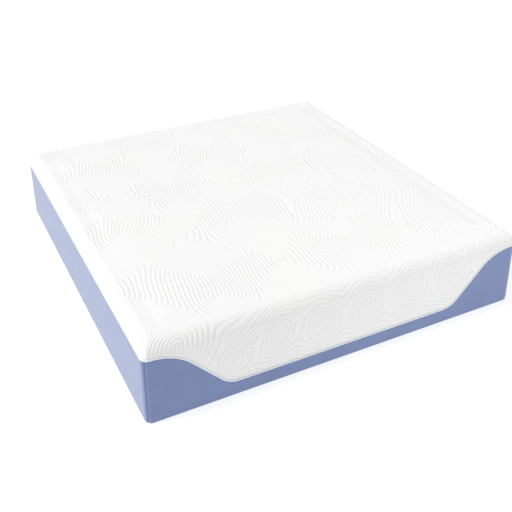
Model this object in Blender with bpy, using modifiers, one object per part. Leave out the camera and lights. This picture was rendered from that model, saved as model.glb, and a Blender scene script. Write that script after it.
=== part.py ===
"""Memory foam mattress, king size, with a removable two-tone knit cover.

Metres, +Z up, origin at the middle of the underside. The foot end faces -Y, the head end +Y.
From the inside out: four foam layers, a fire sock, quilt padding, and the cover, which is a white
one-piece top sewn along an S-shaped seam to four blue borders, over a non-slip bottom panel.
A zip low in the head border opens the cover.
"""

from math import cos, pi, radians, sin

import bmesh
import bpy
from mathutils import Vector

# Whole mattress
WIDTH = 1.93
LENGTH = 2.03
HEIGHT = 0.40
CORNER_RADIUS = 0.030
CORNER_STEPS = 6
RADIUS_LOSS = 0.3
LEAST_RADIUS = 0.012
GAP = 0.0005
SMOOTH_ANGLE = radians(35)
CUTTER_REACH = 0.1

# Pillow-shaped top: the shoulder's two half-axes, and the crown from shoulder to middle
SHOULDER_IN = 0.060
SHOULDER_DOWN = 0.075
SHOULDER_STEPS = 6
CROWN = 0.006
CROWN_INSETS = ((0.25, 0.55), (0.50, 1.0))

# Layers of the cover
COVER_THICK = 0.005
PADDING_THICK = 0.008
BORDER_THICK = COVER_THICK + PADDING_THICK + GAP
BOTTOM_THICK = 0.006
HEM_RADIUS = 0.010
HEM_STEPS = 4
WALL_STEPS = 3
CUT_ROOM = 0.010

# S-shaped seam between the white top and the blue border
SEAM_HIGH = 0.325
SEAM_LOW = 0.077
SEAM_ANGLE = radians(46)
CREST_START = CORNER_RADIUS
CREST_RADIUS = 0.25
TROUGH_RADIUS = 0.11
SEAM_STEPS = 7
BINDING_RADIUS = 0.003
BINDING_INSET = 0.002
BINDING_STEPS = 4
BINDING_END_TURN = radians(2)
SEAM_SPACE = BINDING_RADIUS + GAP

# Vertical corner seams in the border
CORNER_CORD_RADIUS = 0.0015
CORNER_CORD_INSET = 0.002
CORNER_SPACE = CORNER_CORD_RADIUS + GAP

# Inner pieces, from the outer surface inwards
SOCK_INSET = BORDER_THICK + GAP
SOCK_THICK = 0.001
CORE_INSET = SOCK_INSET + SOCK_THICK + GAP
SUPPORT_THICK = 0.190
TRANSITION_THICK = 0.060
MEMORY_THICK = 0.070
MEMORY_EASE = 0.006
GEL_EASE = 0.0065
GEL_EDGE = 0.004

# Zip in the head end
ZIP_HALF = 0.900
ZIP_Z = 0.040
ZIP_SLOT_HALF = 0.010
CHAIN_HALF = 0.003
CHAIN_DEPTH = 0.004
CHAIN_THICK = 0.0026
TAPE_THICK = 0.001
STOP_LENGTH = 0.004
SLIDER_LENGTH = 0.016
SLIDER_HALF = 0.0055
SLIDER_TOP_DEPTH = 0.0012
SLIDER_WALL = 0.0012
SLIDER_BEVEL = 0.0008
SLIDER_X = ZIP_HALF - STOP_LENGTH - 0.012
STOP_BEVEL = 0.0004
RUN_GAP = 0.0004
BAIL_RADIUS = 0.0007
BAIL_HEIGHT = 0.0030
BAIL_HALF = 0.0060
BAIL_BEND = 0.001
BAIL_ROOT = 0.0006
EYE_HOLE = 0.0012
EYE_OUTER = 0.0022
EYE_STEPS = 12
EYE_INSET = 0.001
PULL_WIDTH = 0.0080
PULL_LENGTH = 0.024
PULL_THICK = 0.0016
PULL_BEVEL = 0.0005

COLOURS = {
    "white_knit": ((0.87, 0.87, 0.86), 0.75),
    "blue_knit": ((0.34, 0.40, 0.66), 0.85),
    "white_binding": ((0.88, 0.89, 0.92), 0.65),
    "bottom_fabric": ((0.55, 0.57, 0.62), 0.9),
    "sock_knit": ((0.80, 0.79, 0.74), 0.9),
    "padding": ((0.90, 0.90, 0.88), 0.95),
    "support_foam": ((0.78, 0.77, 0.72), 0.95),
    "transition_foam": ((0.86, 0.86, 0.84), 0.95),
    "memory_foam": ((0.88, 0.84, 0.70), 0.9),
    "gel_foam": ((0.45, 0.62, 0.80), 0.85),
    "zip_fabric": ((0.24, 0.29, 0.50), 0.8),
    "zip_metal": ((0.72, 0.73, 0.75), 0.35),
}


# Scene, collections and materials


def clear_scene():
    for thing in list(bpy.data.objects):
        bpy.data.objects.remove(thing, do_unlink=True)


def new_collection(name):
    collection = bpy.data.collections.new(name)
    bpy.context.scene.collection.children.link(collection)
    return collection


def make_material(name):
    colour, roughness = COLOURS[name]
    material = bpy.data.materials.new(name)
    material.use_nodes = True
    shader = material.node_tree.nodes["Principled BSDF"]
    shader.inputs["Base Color"].default_value = (*colour, 1)
    shader.inputs["Roughness"].default_value = roughness
    shader.inputs["Metallic"].default_value = 1.0 if name == "zip_metal" else 0.0
    material.diffuse_color = (*colour, 1)
    return material


clear_scene()
PARTS = new_collection("memory_foam_mattress")
CUTTERS = new_collection("cutters")
MATERIALS = {name: make_material(name) for name in COLOURS}


# Building blocks


def add_object(name, data, material=None, collection=PARTS):
    thing = bpy.data.objects.new(name, data)
    collection.objects.link(thing)
    if material:
        data.materials.append(MATERIALS[material])
    return thing


def mesh_from(name, bm, material=None, collection=PARTS):
    """A mesh object. Parts are shaded smooth with sharp creases, and cutters stay flat."""
    bmesh.ops.recalc_face_normals(bm, faces=bm.faces)
    mesh = bpy.data.meshes.new(name)
    bm.to_mesh(mesh)
    bm.free()
    if collection is PARTS:
        mesh.shade_smooth()
        mesh.set_sharp_from_angle(angle=SMOOTH_ANGLE)
    return add_object(name, mesh, material, collection)


def as_cutter(thing):
    thing.hide_render = True
    thing.display_type = "WIRE"
    return thing


def rounded_ring(bm, half_x, half_y, radius, z):
    """One ring of vertices along a rectangle with round corners."""
    ring = []
    for quarter, (side_x, side_y) in enumerate(((1, 1), (-1, 1), (-1, -1), (1, -1))):
        for step in range(CORNER_STEPS + 1):
            turn = (quarter + step / CORNER_STEPS) * pi / 2
            x = side_x * (half_x - radius) + radius * cos(turn)
            y = side_y * (half_y - radius) + radius * sin(turn)
            ring.append(bm.verts.new((x, y, z)))
    return ring


def mattress_ring(bm, inset, z, radius=None):
    """A ring that lies a given distance inside the mattress's outline."""
    radius = max(CORNER_RADIUS - inset, LEAST_RADIUS) if radius is None else radius
    return rounded_ring(bm, WIDTH / 2 - inset, LENGTH / 2 - inset, radius, z)


def bridge(bm, low, high):
    count = len(low)
    for i in range(count):
        j = (i + 1) % count
        bm.faces.new((low[i], low[j], high[j], high[i]))


def loft(name, sections, material, close_bottom=True, close_top=True):
    """A body through rings given as (inset, z) or (inset, z, radius)."""
    bm = bmesh.new()
    rings = [mattress_ring(bm, *section) for section in sections]
    for low, high in zip(rings, rings[1:]):
        bridge(bm, low, high)
    if close_bottom:
        bm.faces.new(list(reversed(rings[0])))
    if close_top:
        bm.faces.new(rings[-1])
    return mesh_from(name, bm, material)


def tube_ring(name, sections, material):
    """A ring-shaped body: the sections run round its wall and close on themselves."""
    bm = bmesh.new()
    rings = [mattress_ring(bm, *section) for section in sections]
    for low, high in zip(rings, rings[1:] + rings[:1]):
        bridge(bm, low, high)
    return mesh_from(name, bm, material)


def box(name, low, high, material, collection=PARTS, bevel=0.0):
    bm = bmesh.new()
    bmesh.ops.create_cube(bm, size=1)
    size = Vector(high) - Vector(low)
    centre = (Vector(high) + Vector(low)) / 2
    bmesh.ops.scale(bm, vec=size, verts=bm.verts)
    if bevel:
        bmesh.ops.bevel(bm, geom=bm.edges, offset=bevel, segments=2, profile=0.5, affect="EDGES")
    thing = mesh_from(name, bm, material, collection)
    thing.location = centre
    return thing


def cutter_box(name, low, high, bevel=0.0):
    return as_cutter(box(name, low, high, None, CUTTERS, bevel))


def outline_prism(name, points, axis, low, high):
    """A cutter: an outline in the plane across an axis, extruded from low to high along it."""
    bm = bmesh.new()
    ends = []
    for level in (low, high):
        if axis == "Y":
            ends.append([bm.verts.new((u, level, v)) for u, v in points])
        else:
            ends.append([bm.verts.new((u, v, level)) for u, v in points])
    bridge(bm, ends[0], ends[1])
    bm.faces.new(ends[0])
    bm.faces.new(ends[1])
    return as_cutter(mesh_from(name, bm, collection=CUTTERS))


def boolean(thing, cutter, operation="DIFFERENCE"):
    modifier = thing.modifiers.new(cutter.name, "BOOLEAN")
    modifier.object = cutter
    modifier.operation = operation
    modifier.solver = "EXACT"


def shell(thing, thickness):
    modifier = thing.modifiers.new("thickness", "SOLIDIFY")
    modifier.thickness = thickness
    modifier.offset = -1
    modifier.use_even_offset = True


def cord(name, points, radius, material, resolution=2):
    curve = bpy.data.curves.new(name, "CURVE")
    curve.dimensions = "3D"
    curve.bevel_depth = radius
    curve.bevel_resolution = resolution
    curve.use_fill_caps = True
    spline = curve.splines.new("POLY")
    spline.points.add(len(points) - 1)
    for point, place in zip(spline.points, points):
        point.co = (*place, 1)
    return add_object(name, curve, material)


# The mattress's outer form


def dome_sections(side_inset, top_inset, bottom):
    """Sections of the pillow-shaped top, this far inside the outer surface."""
    top = HEIGHT - top_inset - CROWN
    drop = SHOULDER_DOWN - top_inset
    reach = SHOULDER_IN - side_inset / 2
    sections = [(side_inset, bottom)]
    for step in range(SHOULDER_STEPS + 1):
        turn = step / SHOULDER_STEPS * pi / 2
        inset = side_inset + reach * (1 - cos(turn))
        height = top - drop + drop * sin(turn)
        lost = side_inset + RADIUS_LOSS * (inset - side_inset)
        radius = max(CORNER_RADIUS - lost, LEAST_RADIUS)
        sections.append((inset, height, radius))
    for inset, share in CROWN_INSETS:
        sections.append((inset, top + CROWN * share, CORNER_RADIUS))
    return sections


def wall_inset(z):
    """How far the outer surface leans in at a height: nothing below the shoulder."""
    start = HEIGHT - CROWN - SHOULDER_DOWN
    rise = max(0, z - start) / SHOULDER_DOWN
    return SHOULDER_IN * (1 - (1 - rise**2) ** 0.5)


def seam_points(offset):
    """The S-shaped seam from the left crest to the right one, moved along its normal by offset."""
    rise = SEAM_HIGH - SEAM_LOW
    arcs = (CREST_RADIUS + TROUGH_RADIUS) * (1 - cos(SEAM_ANGLE))
    straight = (rise - arcs) * cos(SEAM_ANGLE) / sin(SEAM_ANGLE)
    crest_x = -WIDTH / 2 + CREST_START
    trough_x = crest_x + (CREST_RADIUS + TROUGH_RADIUS) * sin(SEAM_ANGLE) + straight
    half = []
    for step in range(SEAM_STEPS + 1):
        turn = SEAM_ANGLE * step / SEAM_STEPS
        reach = CREST_RADIUS + offset
        half.append((crest_x + reach * sin(turn), SEAM_HIGH - CREST_RADIUS + reach * cos(turn)))
    for step in range(SEAM_STEPS + 1):
        turn = SEAM_ANGLE * (1 - step / SEAM_STEPS)
        reach = TROUGH_RADIUS - offset
        half.append((trough_x - reach * sin(turn), SEAM_LOW + TROUGH_RADIUS - reach * cos(turn)))
    return half + [(-x, z) for x, z in reversed(half)]


def seam_cutter(name, offset, far_z):
    """A cutter for all that lies between the seam and far_z, right through from foot to head."""
    beyond = WIDTH / 2 + CUTTER_REACH
    height = SEAM_HIGH + offset
    rim = [(-beyond, height)] + seam_points(offset) + [(beyond, height)]
    outline = [(beyond, far_z), (-beyond, far_z)] + rim
    through = LENGTH / 2 + CUTTER_REACH
    return outline_prism(name, outline, "Y", -through, through)


def below_seam(name):
    return seam_cutter(name, SEAM_SPACE, -CUTTER_REACH)


def above_seam(name):
    return seam_cutter(name, -SEAM_SPACE, HEIGHT + CUTTER_REACH)


def corner_point(side_x, side_y, depth, z, turn=pi / 4):
    """A point on a rounded corner at height z, this deep under the outer surface."""
    inset = wall_inset(z)
    radius = CORNER_RADIUS - RADIUS_LOSS * inset
    x = WIDTH / 2 - inset - radius + (radius - depth) * cos(turn)
    y = LENGTH / 2 - inset - radius + (radius - depth) * sin(turn)
    return side_x * x, side_y * y, z


# Foam core


def make_core():
    base = BOTTOM_THICK + GAP
    level = base
    slabs = (
        ("support_foam", SUPPORT_THICK),
        ("transition_foam", TRANSITION_THICK),
        ("memory_foam", MEMORY_THICK),
    )
    for name, thickness in slabs:
        top = level + thickness - GAP
        sections = [(CORE_INSET, level), (CORE_INSET, top)]
        if name == "memory_foam":
            sections[1:] = [(CORE_INSET, top - 5 * MEMORY_EASE), (CORE_INSET + MEMORY_EASE, top)]
        loft(name, sections, name)
        level += thickness
    outer = dome_sections(CORE_INSET, CORE_INSET, base)
    above = [section for section in outer if section[1] > level + GEL_EDGE]
    first = (CORE_INSET + GEL_EASE, level)
    loft("gel_memory_foam", [first] + above, "gel_foam")


def make_fire_sock():
    sections = dome_sections(SOCK_INSET, SOCK_INSET, BOTTOM_THICK + GAP)
    shell(loft("fire_sock", sections, "sock_knit", close_bottom=False), SOCK_THICK)


# Cover


def make_quilt_padding():
    inset = COVER_THICK + GAP
    sections = dome_sections(inset, inset, SEAM_LOW - CUT_ROOM)
    padding = loft("quilt_padding", sections, "padding", close_bottom=False)
    shell(padding, PADDING_THICK - GAP)
    boolean(padding, below_seam("padding_cut"))


def make_top_cover():
    sections = dome_sections(0, 0, SEAM_LOW - CUT_ROOM)
    cover = loft("top_cover", sections, "white_knit", close_bottom=False)
    shell(cover, COVER_THICK)
    boolean(cover, below_seam("cover_cut"))


def wall_section(depth, z):
    inset = wall_inset(z)
    return depth + inset, z, CORNER_RADIUS - depth - RADIUS_LOSS * inset


def border_sections(low, high):
    """The border's wall: up its outer face and down its inner one, with a rounded lower edge."""
    outer = []
    for step in range(HEM_STEPS + 1):
        turn = step / HEM_STEPS * pi / 2
        outer.append((HEM_RADIUS * (1 - sin(turn)), low + HEM_RADIUS * (1 - cos(turn))))
    shoulder = HEIGHT - CROWN - SHOULDER_DOWN
    levels = [shoulder + (high - shoulder) * step / WALL_STEPS for step in range(WALL_STEPS + 1)]
    outer += [wall_section(0, z) for z in levels]
    inner = [wall_section(BORDER_THICK, z) for z in reversed(levels)]
    return outer + inner + [(BORDER_THICK, low)]


def side_wedge(name, side):
    """A cutter that keeps one side of the border, from corner seam to corner seam."""
    near_x, near_y = WIDTH / 2 - CORNER_RADIUS, LENGTH / 2 - CORNER_RADIUS
    space = CORNER_SPACE * 2**0.5
    out = CUTTER_REACH
    if side in ("foot", "head"):
        sign = -1 if side == "foot" else 1
        inner, outer = near_x - space, near_x - space + out
        points = [(-inner, near_y), (inner, near_y), (outer, near_y + out), (-outer, near_y + out)]
        points = [(x, sign * y) for x, y in points]
    else:
        sign = -1 if side == "left" else 1
        inner, outer = near_y - space, near_y - space + out
        points = [(near_x, -inner), (near_x, inner), (near_x + out, outer), (near_x + out, -outer)]
        points = [(sign * x, y) for x, y in points]
    return outline_prism(name, points, "Z", -CUTTER_REACH, HEIGHT + CUTTER_REACH)


def make_border(side):
    high = SEAM_HIGH - SEAM_SPACE
    border = tube_ring(side + "_border", border_sections(GAP, high), "blue_knit")
    boolean(border, side_wedge(side + "_wedge", side), "INTERSECT")
    if side in ("foot", "head"):
        boolean(border, above_seam(side + "_seam"))
    return border


def make_borders():
    for side in ("foot", "left", "right"):
        make_border(side)
    boolean(make_border("head"), make_zip_slot())


def make_zip_slot():
    """The long slot in the head border that the zip closes."""
    end = ZIP_HALF + GAP
    low = (-end, LENGTH / 2 - 2 * BORDER_THICK, ZIP_Z - ZIP_SLOT_HALF)
    high = (end, LENGTH / 2 + BORDER_THICK, ZIP_Z + ZIP_SLOT_HALF)
    return cutter_box("zip_slot", low, high)


def make_bottom_panel():
    inset = BORDER_THICK + GAP
    loft("bottom_panel", [(inset, 0), (inset, BOTTOM_THICK)], "bottom_fabric")


def make_bindings():
    """A white cord along the seam on each of the four sides."""
    start = pi / 4 + BINDING_END_TURN
    turns = [start + (pi / 2 - start) * step / BINDING_STEPS for step in range(BINDING_STEPS + 1)]
    straight_end = WIDTH / 2 - CORNER_RADIUS - 2 * BINDING_RADIUS
    for side, sign in (("foot", -1), ("head", 1)):
        right = [corner_point(1, sign, BINDING_INSET, SEAM_HIGH, turn) for turn in turns]
        left = [(-x, y, z) for x, y, z in reversed(right)]
        middle = []
        for x, z in reversed(seam_points(0)):
            if abs(x) < straight_end:
                middle.append((x, sign * (LENGTH / 2 - wall_inset(z) - BINDING_INSET), z))
        cord(side + "_binding", right + middle + left, BINDING_RADIUS, "white_binding")
    for side, sign in (("left", -1), ("right", 1)):
        head = [corner_point(sign, 1, BINDING_INSET, SEAM_HIGH, pi / 2 - turn) for turn in turns]
        foot = [(x, -y, z) for x, y, z in reversed(head)]
        cord(side + "_binding", head + foot, BINDING_RADIUS, "white_binding")


def make_corner_seams():
    low = HEM_RADIUS + 2 * CORNER_SPACE
    middle = HEIGHT - CROWN - SHOULDER_DOWN
    high = SEAM_HIGH - BINDING_RADIUS - 4 * GAP
    for end, side_y in (("foot", -1), ("head", 1)):
        for hand, side_x in (("left", -1), ("right", 1)):
            levels = (low, middle, (middle + high) / 2, high)
            points = [corner_point(side_x, side_y, CORNER_CORD_INSET, z) for z in levels]
            name = f"corner_seam_{end}_{hand}"
            cord(name, points, CORNER_CORD_RADIUS, "blue_knit")


# Zip


def zip_face(depth):
    return LENGTH / 2 - depth


def make_zip_strips():
    """The closed coil chain between two tapes, set back in the head border."""
    chain_back = CHAIN_DEPTH + CHAIN_THICK
    tape_front = CHAIN_DEPTH + (CHAIN_THICK - TAPE_THICK) / 2
    box(
        "zip_chain",
        (-ZIP_HALF + STOP_LENGTH, zip_face(chain_back), ZIP_Z - CHAIN_HALF),
        (ZIP_HALF - STOP_LENGTH, zip_face(CHAIN_DEPTH), ZIP_Z + CHAIN_HALF),
        "zip_fabric",
    )
    for name, sign in (("zip_tape_upper", 1), ("zip_tape_lower", -1)):
        edges = sorted(
            (ZIP_Z + sign * (CHAIN_HALF + RUN_GAP), ZIP_Z + sign * (ZIP_SLOT_HALF - RUN_GAP))
        )
        box(
            name,
            (-ZIP_HALF, zip_face(tape_front + TAPE_THICK), edges[0]),
            (ZIP_HALF, zip_face(tape_front), edges[1]),
            "zip_fabric",
        )
    for name, sign in (("zip_stop_left", -1), ("zip_stop_right", 1)):
        ends = sorted((sign * ZIP_HALF, sign * (ZIP_HALF - STOP_LENGTH + RUN_GAP)))
        box(
            name,
            (ends[0], zip_face(chain_back), ZIP_Z - CHAIN_HALF),
            (ends[1], zip_face(CHAIN_DEPTH), ZIP_Z + CHAIN_HALF),
            "zip_metal",
            bevel=STOP_BEVEL,
        )


def make_slider():
    """The slider's front shell over the chain, with the bail that the pull hangs on."""
    back = CHAIN_DEPTH + RUN_GAP
    slider = box(
        "zip_slider",
        (SLIDER_X - SLIDER_LENGTH / 2, zip_face(back), ZIP_Z - SLIDER_HALF),
        (SLIDER_X + SLIDER_LENGTH / 2, zip_face(SLIDER_TOP_DEPTH), ZIP_Z + SLIDER_HALF),
        "zip_metal",
        bevel=SLIDER_BEVEL,
    )
    channel_half = SLIDER_HALF - SLIDER_WALL
    channel = cutter_box(
        "slider_channel",
        (SLIDER_X - SLIDER_LENGTH, zip_face(back + SLIDER_LENGTH), ZIP_Z - channel_half),
        (SLIDER_X + SLIDER_LENGTH, zip_face(CHAIN_DEPTH - RUN_GAP), ZIP_Z + channel_half),
    )
    boolean(slider, channel)
    boolean(slider, make_bail(), "UNION")


def make_bail():
    """A small arch of wire along the slider, its straight top on the pull's axis."""
    foot_y = zip_face(SLIDER_TOP_DEPTH + BAIL_ROOT)
    top_y = zip_face(SLIDER_TOP_DEPTH) + BAIL_HEIGHT
    rise = ((BAIL_HALF, foot_y), (BAIL_HALF, top_y - BAIL_BEND), (BAIL_HALF - BAIL_BEND, top_y))
    points = [(SLIDER_X - reach, y, ZIP_Z) for reach, y in rise]
    points += [(SLIDER_X + reach, y, ZIP_Z) for reach, y in reversed(rise)]
    wire = cord("bail_wire", points, BAIL_RADIUS, None)
    return curve_to_cutter(wire, "slider_bail")


def curve_to_cutter(curve_object, name):
    """A curve's closed mesh, in the cutters' collection."""
    depsgraph = bpy.context.evaluated_depsgraph_get()
    mesh = bpy.data.meshes.new_from_object(curve_object.evaluated_get(depsgraph))
    matrix = curve_object.matrix_world.copy()
    bpy.data.objects.remove(curve_object, do_unlink=True)
    bm = bmesh.new()
    bm.from_mesh(mesh)
    bmesh.ops.remove_doubles(bm, verts=bm.verts, dist=0.00001)
    bmesh.ops.recalc_face_normals(bm, faces=bm.faces)
    bm.to_mesh(mesh)
    bm.free()
    cutter = add_object(name, mesh, collection=CUTTERS)
    cutter.matrix_world = matrix
    return as_cutter(cutter)


def make_pull():
    """The pull tab, hanging from an eye round the bail; its origin is on the hinge's axis."""
    axis_y = zip_face(SLIDER_TOP_DEPTH) + BAIL_HEIGHT
    eye_half = PULL_WIDTH / 2 - EYE_INSET
    bm = bmesh.new()
    rings = []
    for x, radius in (
        (-eye_half, EYE_OUTER), (eye_half, EYE_OUTER), (eye_half, EYE_HOLE), (-eye_half, EYE_HOLE)
    ):
        turns = [2 * pi * step / EYE_STEPS for step in range(EYE_STEPS)]
        rings.append([bm.verts.new((x, radius * sin(turn), radius * cos(turn))) for turn in turns])
    for low, high in zip(rings, rings[1:] + rings[:1]):
        bridge(bm, low, high)
    pull = mesh_from("zip_pull", bm, "zip_metal")
    pull.location = (SLIDER_X, axis_y, ZIP_Z)
    tab = cutter_box(
        "pull_tab",
        (SLIDER_X - PULL_WIDTH / 2, axis_y - PULL_THICK / 2, ZIP_Z - PULL_LENGTH),
        (SLIDER_X + PULL_WIDTH / 2, axis_y + PULL_THICK / 2, ZIP_Z - (EYE_HOLE + EYE_OUTER) / 2),
        bevel=PULL_BEVEL,
    )
    boolean(pull, tab, "UNION")


make_core()
make_fire_sock()
make_quilt_padding()
make_top_cover()
make_borders()
make_bottom_panel()
make_bindings()
make_corner_seams()
make_zip_strips()
make_slider()
make_pull()
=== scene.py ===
"""Visual model of a king-size memory foam mattress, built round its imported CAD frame.

Metres, +Z up, the same frame as the CAD: origin at the middle of the underside, foot end at -Y.
The white cover is one skin over the top and down the four sides, with its swirl relief in the
mesh. The blue borders, bindings, corner seams, bottom panel and zip are pieces of their own.
"""

from math import cos, pi, radians, sin

import bmesh
import bpy
import numpy as np
from mathutils import Matrix, Vector


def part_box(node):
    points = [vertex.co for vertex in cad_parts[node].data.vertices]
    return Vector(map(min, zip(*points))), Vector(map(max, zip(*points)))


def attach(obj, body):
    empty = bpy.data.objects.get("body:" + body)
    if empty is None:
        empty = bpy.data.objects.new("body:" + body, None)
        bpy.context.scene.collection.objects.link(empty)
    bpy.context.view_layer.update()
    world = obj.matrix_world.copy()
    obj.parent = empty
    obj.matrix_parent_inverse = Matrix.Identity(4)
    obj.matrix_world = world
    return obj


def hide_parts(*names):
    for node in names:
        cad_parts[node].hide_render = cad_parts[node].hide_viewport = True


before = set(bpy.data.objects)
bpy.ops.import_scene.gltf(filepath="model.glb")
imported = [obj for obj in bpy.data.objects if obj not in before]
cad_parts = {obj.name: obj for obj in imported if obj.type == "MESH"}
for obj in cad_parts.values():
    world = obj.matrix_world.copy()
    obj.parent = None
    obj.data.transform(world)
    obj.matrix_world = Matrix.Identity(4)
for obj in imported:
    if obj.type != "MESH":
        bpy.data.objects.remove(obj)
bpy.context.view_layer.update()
TAU = 2 * pi

# Sizes read from the frame
COVER_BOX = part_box("top_cover")
PANEL_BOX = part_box("bottom_panel")
ZIP_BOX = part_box("zip_chain")
WIDTH = COVER_BOX[1].x - COVER_BOX[0].x
LENGTH = COVER_BOX[1].y - COVER_BOX[0].y
HEIGHT = COVER_BOX[1].z

# The CAD's outer form
CORNER_RADIUS = 0.030
RADIUS_LOSS = 0.3
SHOULDER_IN = 0.060
SHOULDER_DOWN = 0.075
CROWN = 0.006
CROWN_REACH = 0.44
HEM_RADIUS = 0.010
BORDER_DEPTH = 0.0135
RIM_Z = HEIGHT - CROWN
SHOULDER_Z = RIM_Z - SHOULDER_DOWN

# The S-shaped seam between white and blue
SEAM_SPACE = 0.0035
SEAM_LOW = COVER_BOX[0].z - SEAM_SPACE
SEAM_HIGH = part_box("left_border")[1].z + SEAM_SPACE
SEAM_ANGLE = radians(46)
CREST_RADIUS = 0.25
TROUGH_RADIUS = 0.11
SEAM_POINTS = 40

# Each side of the mattress: the way along it, with the outside on the right, and the way out
SIDES = {
    "foot": ((1, 0), (0, -1)),
    "right": ((0, 1), (1, 0)),
    "head": ((-1, 0), (0, 1)),
    "left": ((0, -1), (-1, 0)),
}


def make_camera():
    """The camera, from the left of the foot end and above it."""
    azimuth, elevation, roll = radians(-26.58), radians(24.99), radians(-0.30)
    back = Vector((sin(azimuth) * cos(elevation), -cos(azimuth) * cos(elevation), sin(elevation)))
    data = bpy.data.cameras.new("camera")
    data.lens = 55.84
    data.sensor_width = 36
    data.shift_y = -0.207
    camera = bpy.data.objects.new("camera", data)
    turn = back.to_track_quat("Z", "Y").to_matrix() @ Matrix.Rotation(roll, 3, "Z")
    camera.matrix_world = Matrix.Translation((-1.665, -3.426, 2.397)) @ turn.to_4x4()
    bpy.context.scene.collection.objects.link(camera)
    bpy.context.scene.camera = camera


make_camera()


# The outer form as numbers


def wall_profile():
    """Arc length, inset and height down a side, from the top's rim over the shoulder to the base."""
    turn = np.linspace(0, pi / 2, 120)
    shoulder = np.array([SHOULDER_IN * (1 - np.sin(turn)), SHOULDER_Z + SHOULDER_DOWN * np.cos(turn)])
    hem = np.array([HEM_RADIUS * (1 - np.cos(turn)), HEM_RADIUS * (1 - np.sin(turn))])
    under = np.array([[BORDER_DEPTH], [0.0]])
    inset, height = np.hstack([shoulder, hem, under])
    run = np.hypot(np.diff(inset), np.diff(height))
    return np.concatenate([[0], np.cumsum(run)]), inset, height


PROFILE_ARC, PROFILE_INSET, PROFILE_HEIGHT = wall_profile()
BASE_ARC = PROFILE_ARC[-1]


def arc_at(height):
    return np.interp(-height, -PROFILE_HEIGHT[:-1], PROFILE_ARC[:-1])


def half_size(way):
    return abs(way[0]) * WIDTH / 2 + abs(way[1]) * LENGTH / 2


def wall_points(side, share, arc, radius=CORNER_RADIUS, depth=0.0):
    """Points on a side, or this deep behind it. Share runs along it from corner to corner, and
    arc down from the top's rim."""
    along, out = (np.array(way, float) for way in SIDES[side])
    inset = np.interp(arc, PROFILE_ARC, PROFILE_INSET)
    height = np.interp(arc, PROFILE_ARC, PROFILE_HEIGHT)
    radius = radius - RADIUS_LOSS * inset
    straight = half_size(along) - inset - radius
    run = (share - 0.5) * 2 * (straight + pi / 4 * radius)
    turn = np.clip((np.abs(run) - straight) / radius, 0, pi / 4)
    reach = radius - depth
    u = np.sign(run) * (np.minimum(np.abs(run), straight) + reach * np.sin(turn))
    v = half_size(out) - inset - radius + reach * np.cos(turn)
    plan = u[..., None] * along + v[..., None] * out
    return np.concatenate([plan, np.broadcast_to(height, u.shape)[..., None]], axis=-1)


def seam_half(offset):
    """The seam from its trough to its crest, as distance from the middle and height."""
    both = CREST_RADIUS + TROUGH_RADIUS
    rise = SEAM_HIGH - SEAM_LOW - both * (1 - cos(SEAM_ANGLE))
    straight = rise * cos(SEAM_ANGLE) / sin(SEAM_ANGLE)
    crest = WIDTH / 2 - CORNER_RADIUS
    trough = crest - both * sin(SEAM_ANGLE) - straight
    turn = np.linspace(0, SEAM_ANGLE, SEAM_POINTS)
    arcs = []
    for x, z, reach in ((trough, SEAM_LOW + TROUGH_RADIUS, TROUGH_RADIUS - offset),
                        (crest, SEAM_HIGH - CREST_RADIUS, -CREST_RADIUS - offset)):
        arcs.append(np.array([x + reach * np.sin(turn), z - reach * np.cos(turn)]))
    low, high = arcs
    return np.hstack([low, high[:, ::-1]])


def seam_arc(side, share, offset, radius=CORNER_RADIUS):
    """Arc length from the rim down to the seam, moved by offset along the seam's normal."""
    flat_arc = np.full(np.shape(share), arc_at(SEAM_HIGH + offset))
    if side in ("left", "right"):
        return flat_arc
    distance, height = seam_half(offset)
    place = wall_points(side, share, flat_arc, radius)
    return arc_at(np.interp(np.abs(place[..., 0]), distance, height))


def crown_height(x, y):
    """Height of the gently domed top: it levels out towards the middle."""
    inset = np.minimum(WIDTH / 2 - np.abs(x), LENGTH / 2 - np.abs(y)) - SHOULDER_IN
    share = np.clip(inset / CROWN_REACH, 0, 1)
    return RIM_Z + CROWN * (1 - (1 - share) ** 2)


# Skins: a grid over the top and columns of vertices down the sides


def column_counts(cell):
    return {side: round(2 * half_size(way) / cell) for side, (way, _) in SIDES.items()}


def column_shares(cell):
    """The side and the share along it of each column, once round the mattress."""
    sides, shares = [], []
    for side, count in column_counts(cell).items():
        sides += [side] * count
        shares += [j / count for j in range(count)]
    return np.array(sides), np.array(shares)


def seam_ends(cell, offset, radius=CORNER_RADIUS):
    """Arc length down to the seam at each column."""
    sides, shares = column_shares(cell)
    ends = np.zeros(len(shares))
    for side in SIDES:
        here = sides == side
        ends[here] = seam_arc(side, shares[here], offset, radius)
    return ends


def column_mesh(cell, ends, radius):
    """Vertices and faces of the columns, each cut off at its own end."""
    sides, shares = column_shares(cell)
    rows = np.floor(ends / cell - 0.5).astype(int)
    first = np.concatenate([[0], np.cumsum(rows + 2)])
    column = np.repeat(np.arange(len(rows)), rows + 2)
    row = np.arange(first[-1]) - first[column]
    arc = np.where(row <= rows[column], row * cell, ends[column])
    places = np.zeros((len(arc), 3))
    for side in SIDES:
        here = sides[column] == side
        places[here] = wall_points(side, shares[column][here], arc[here], radius)
    faces = []
    for a in range(len(rows)):
        b = (a + 1) % len(rows)
        shared = min(rows[a], rows[b])
        start_a, start_b = first[a], first[b]
        faces += [
            (start_a + k, start_a + k + 1, start_b + k + 1, start_b + k) for k in range(shared)
        ]
        down = range(start_a + shared, start_a + rows[a] + 2)
        up = range(start_b + rows[b] + 1, start_b + shared - 1, -1)
        faces.append((*down, *up))
    return places, faces, first[:-1], first[1:] - 1, column, arc


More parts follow.
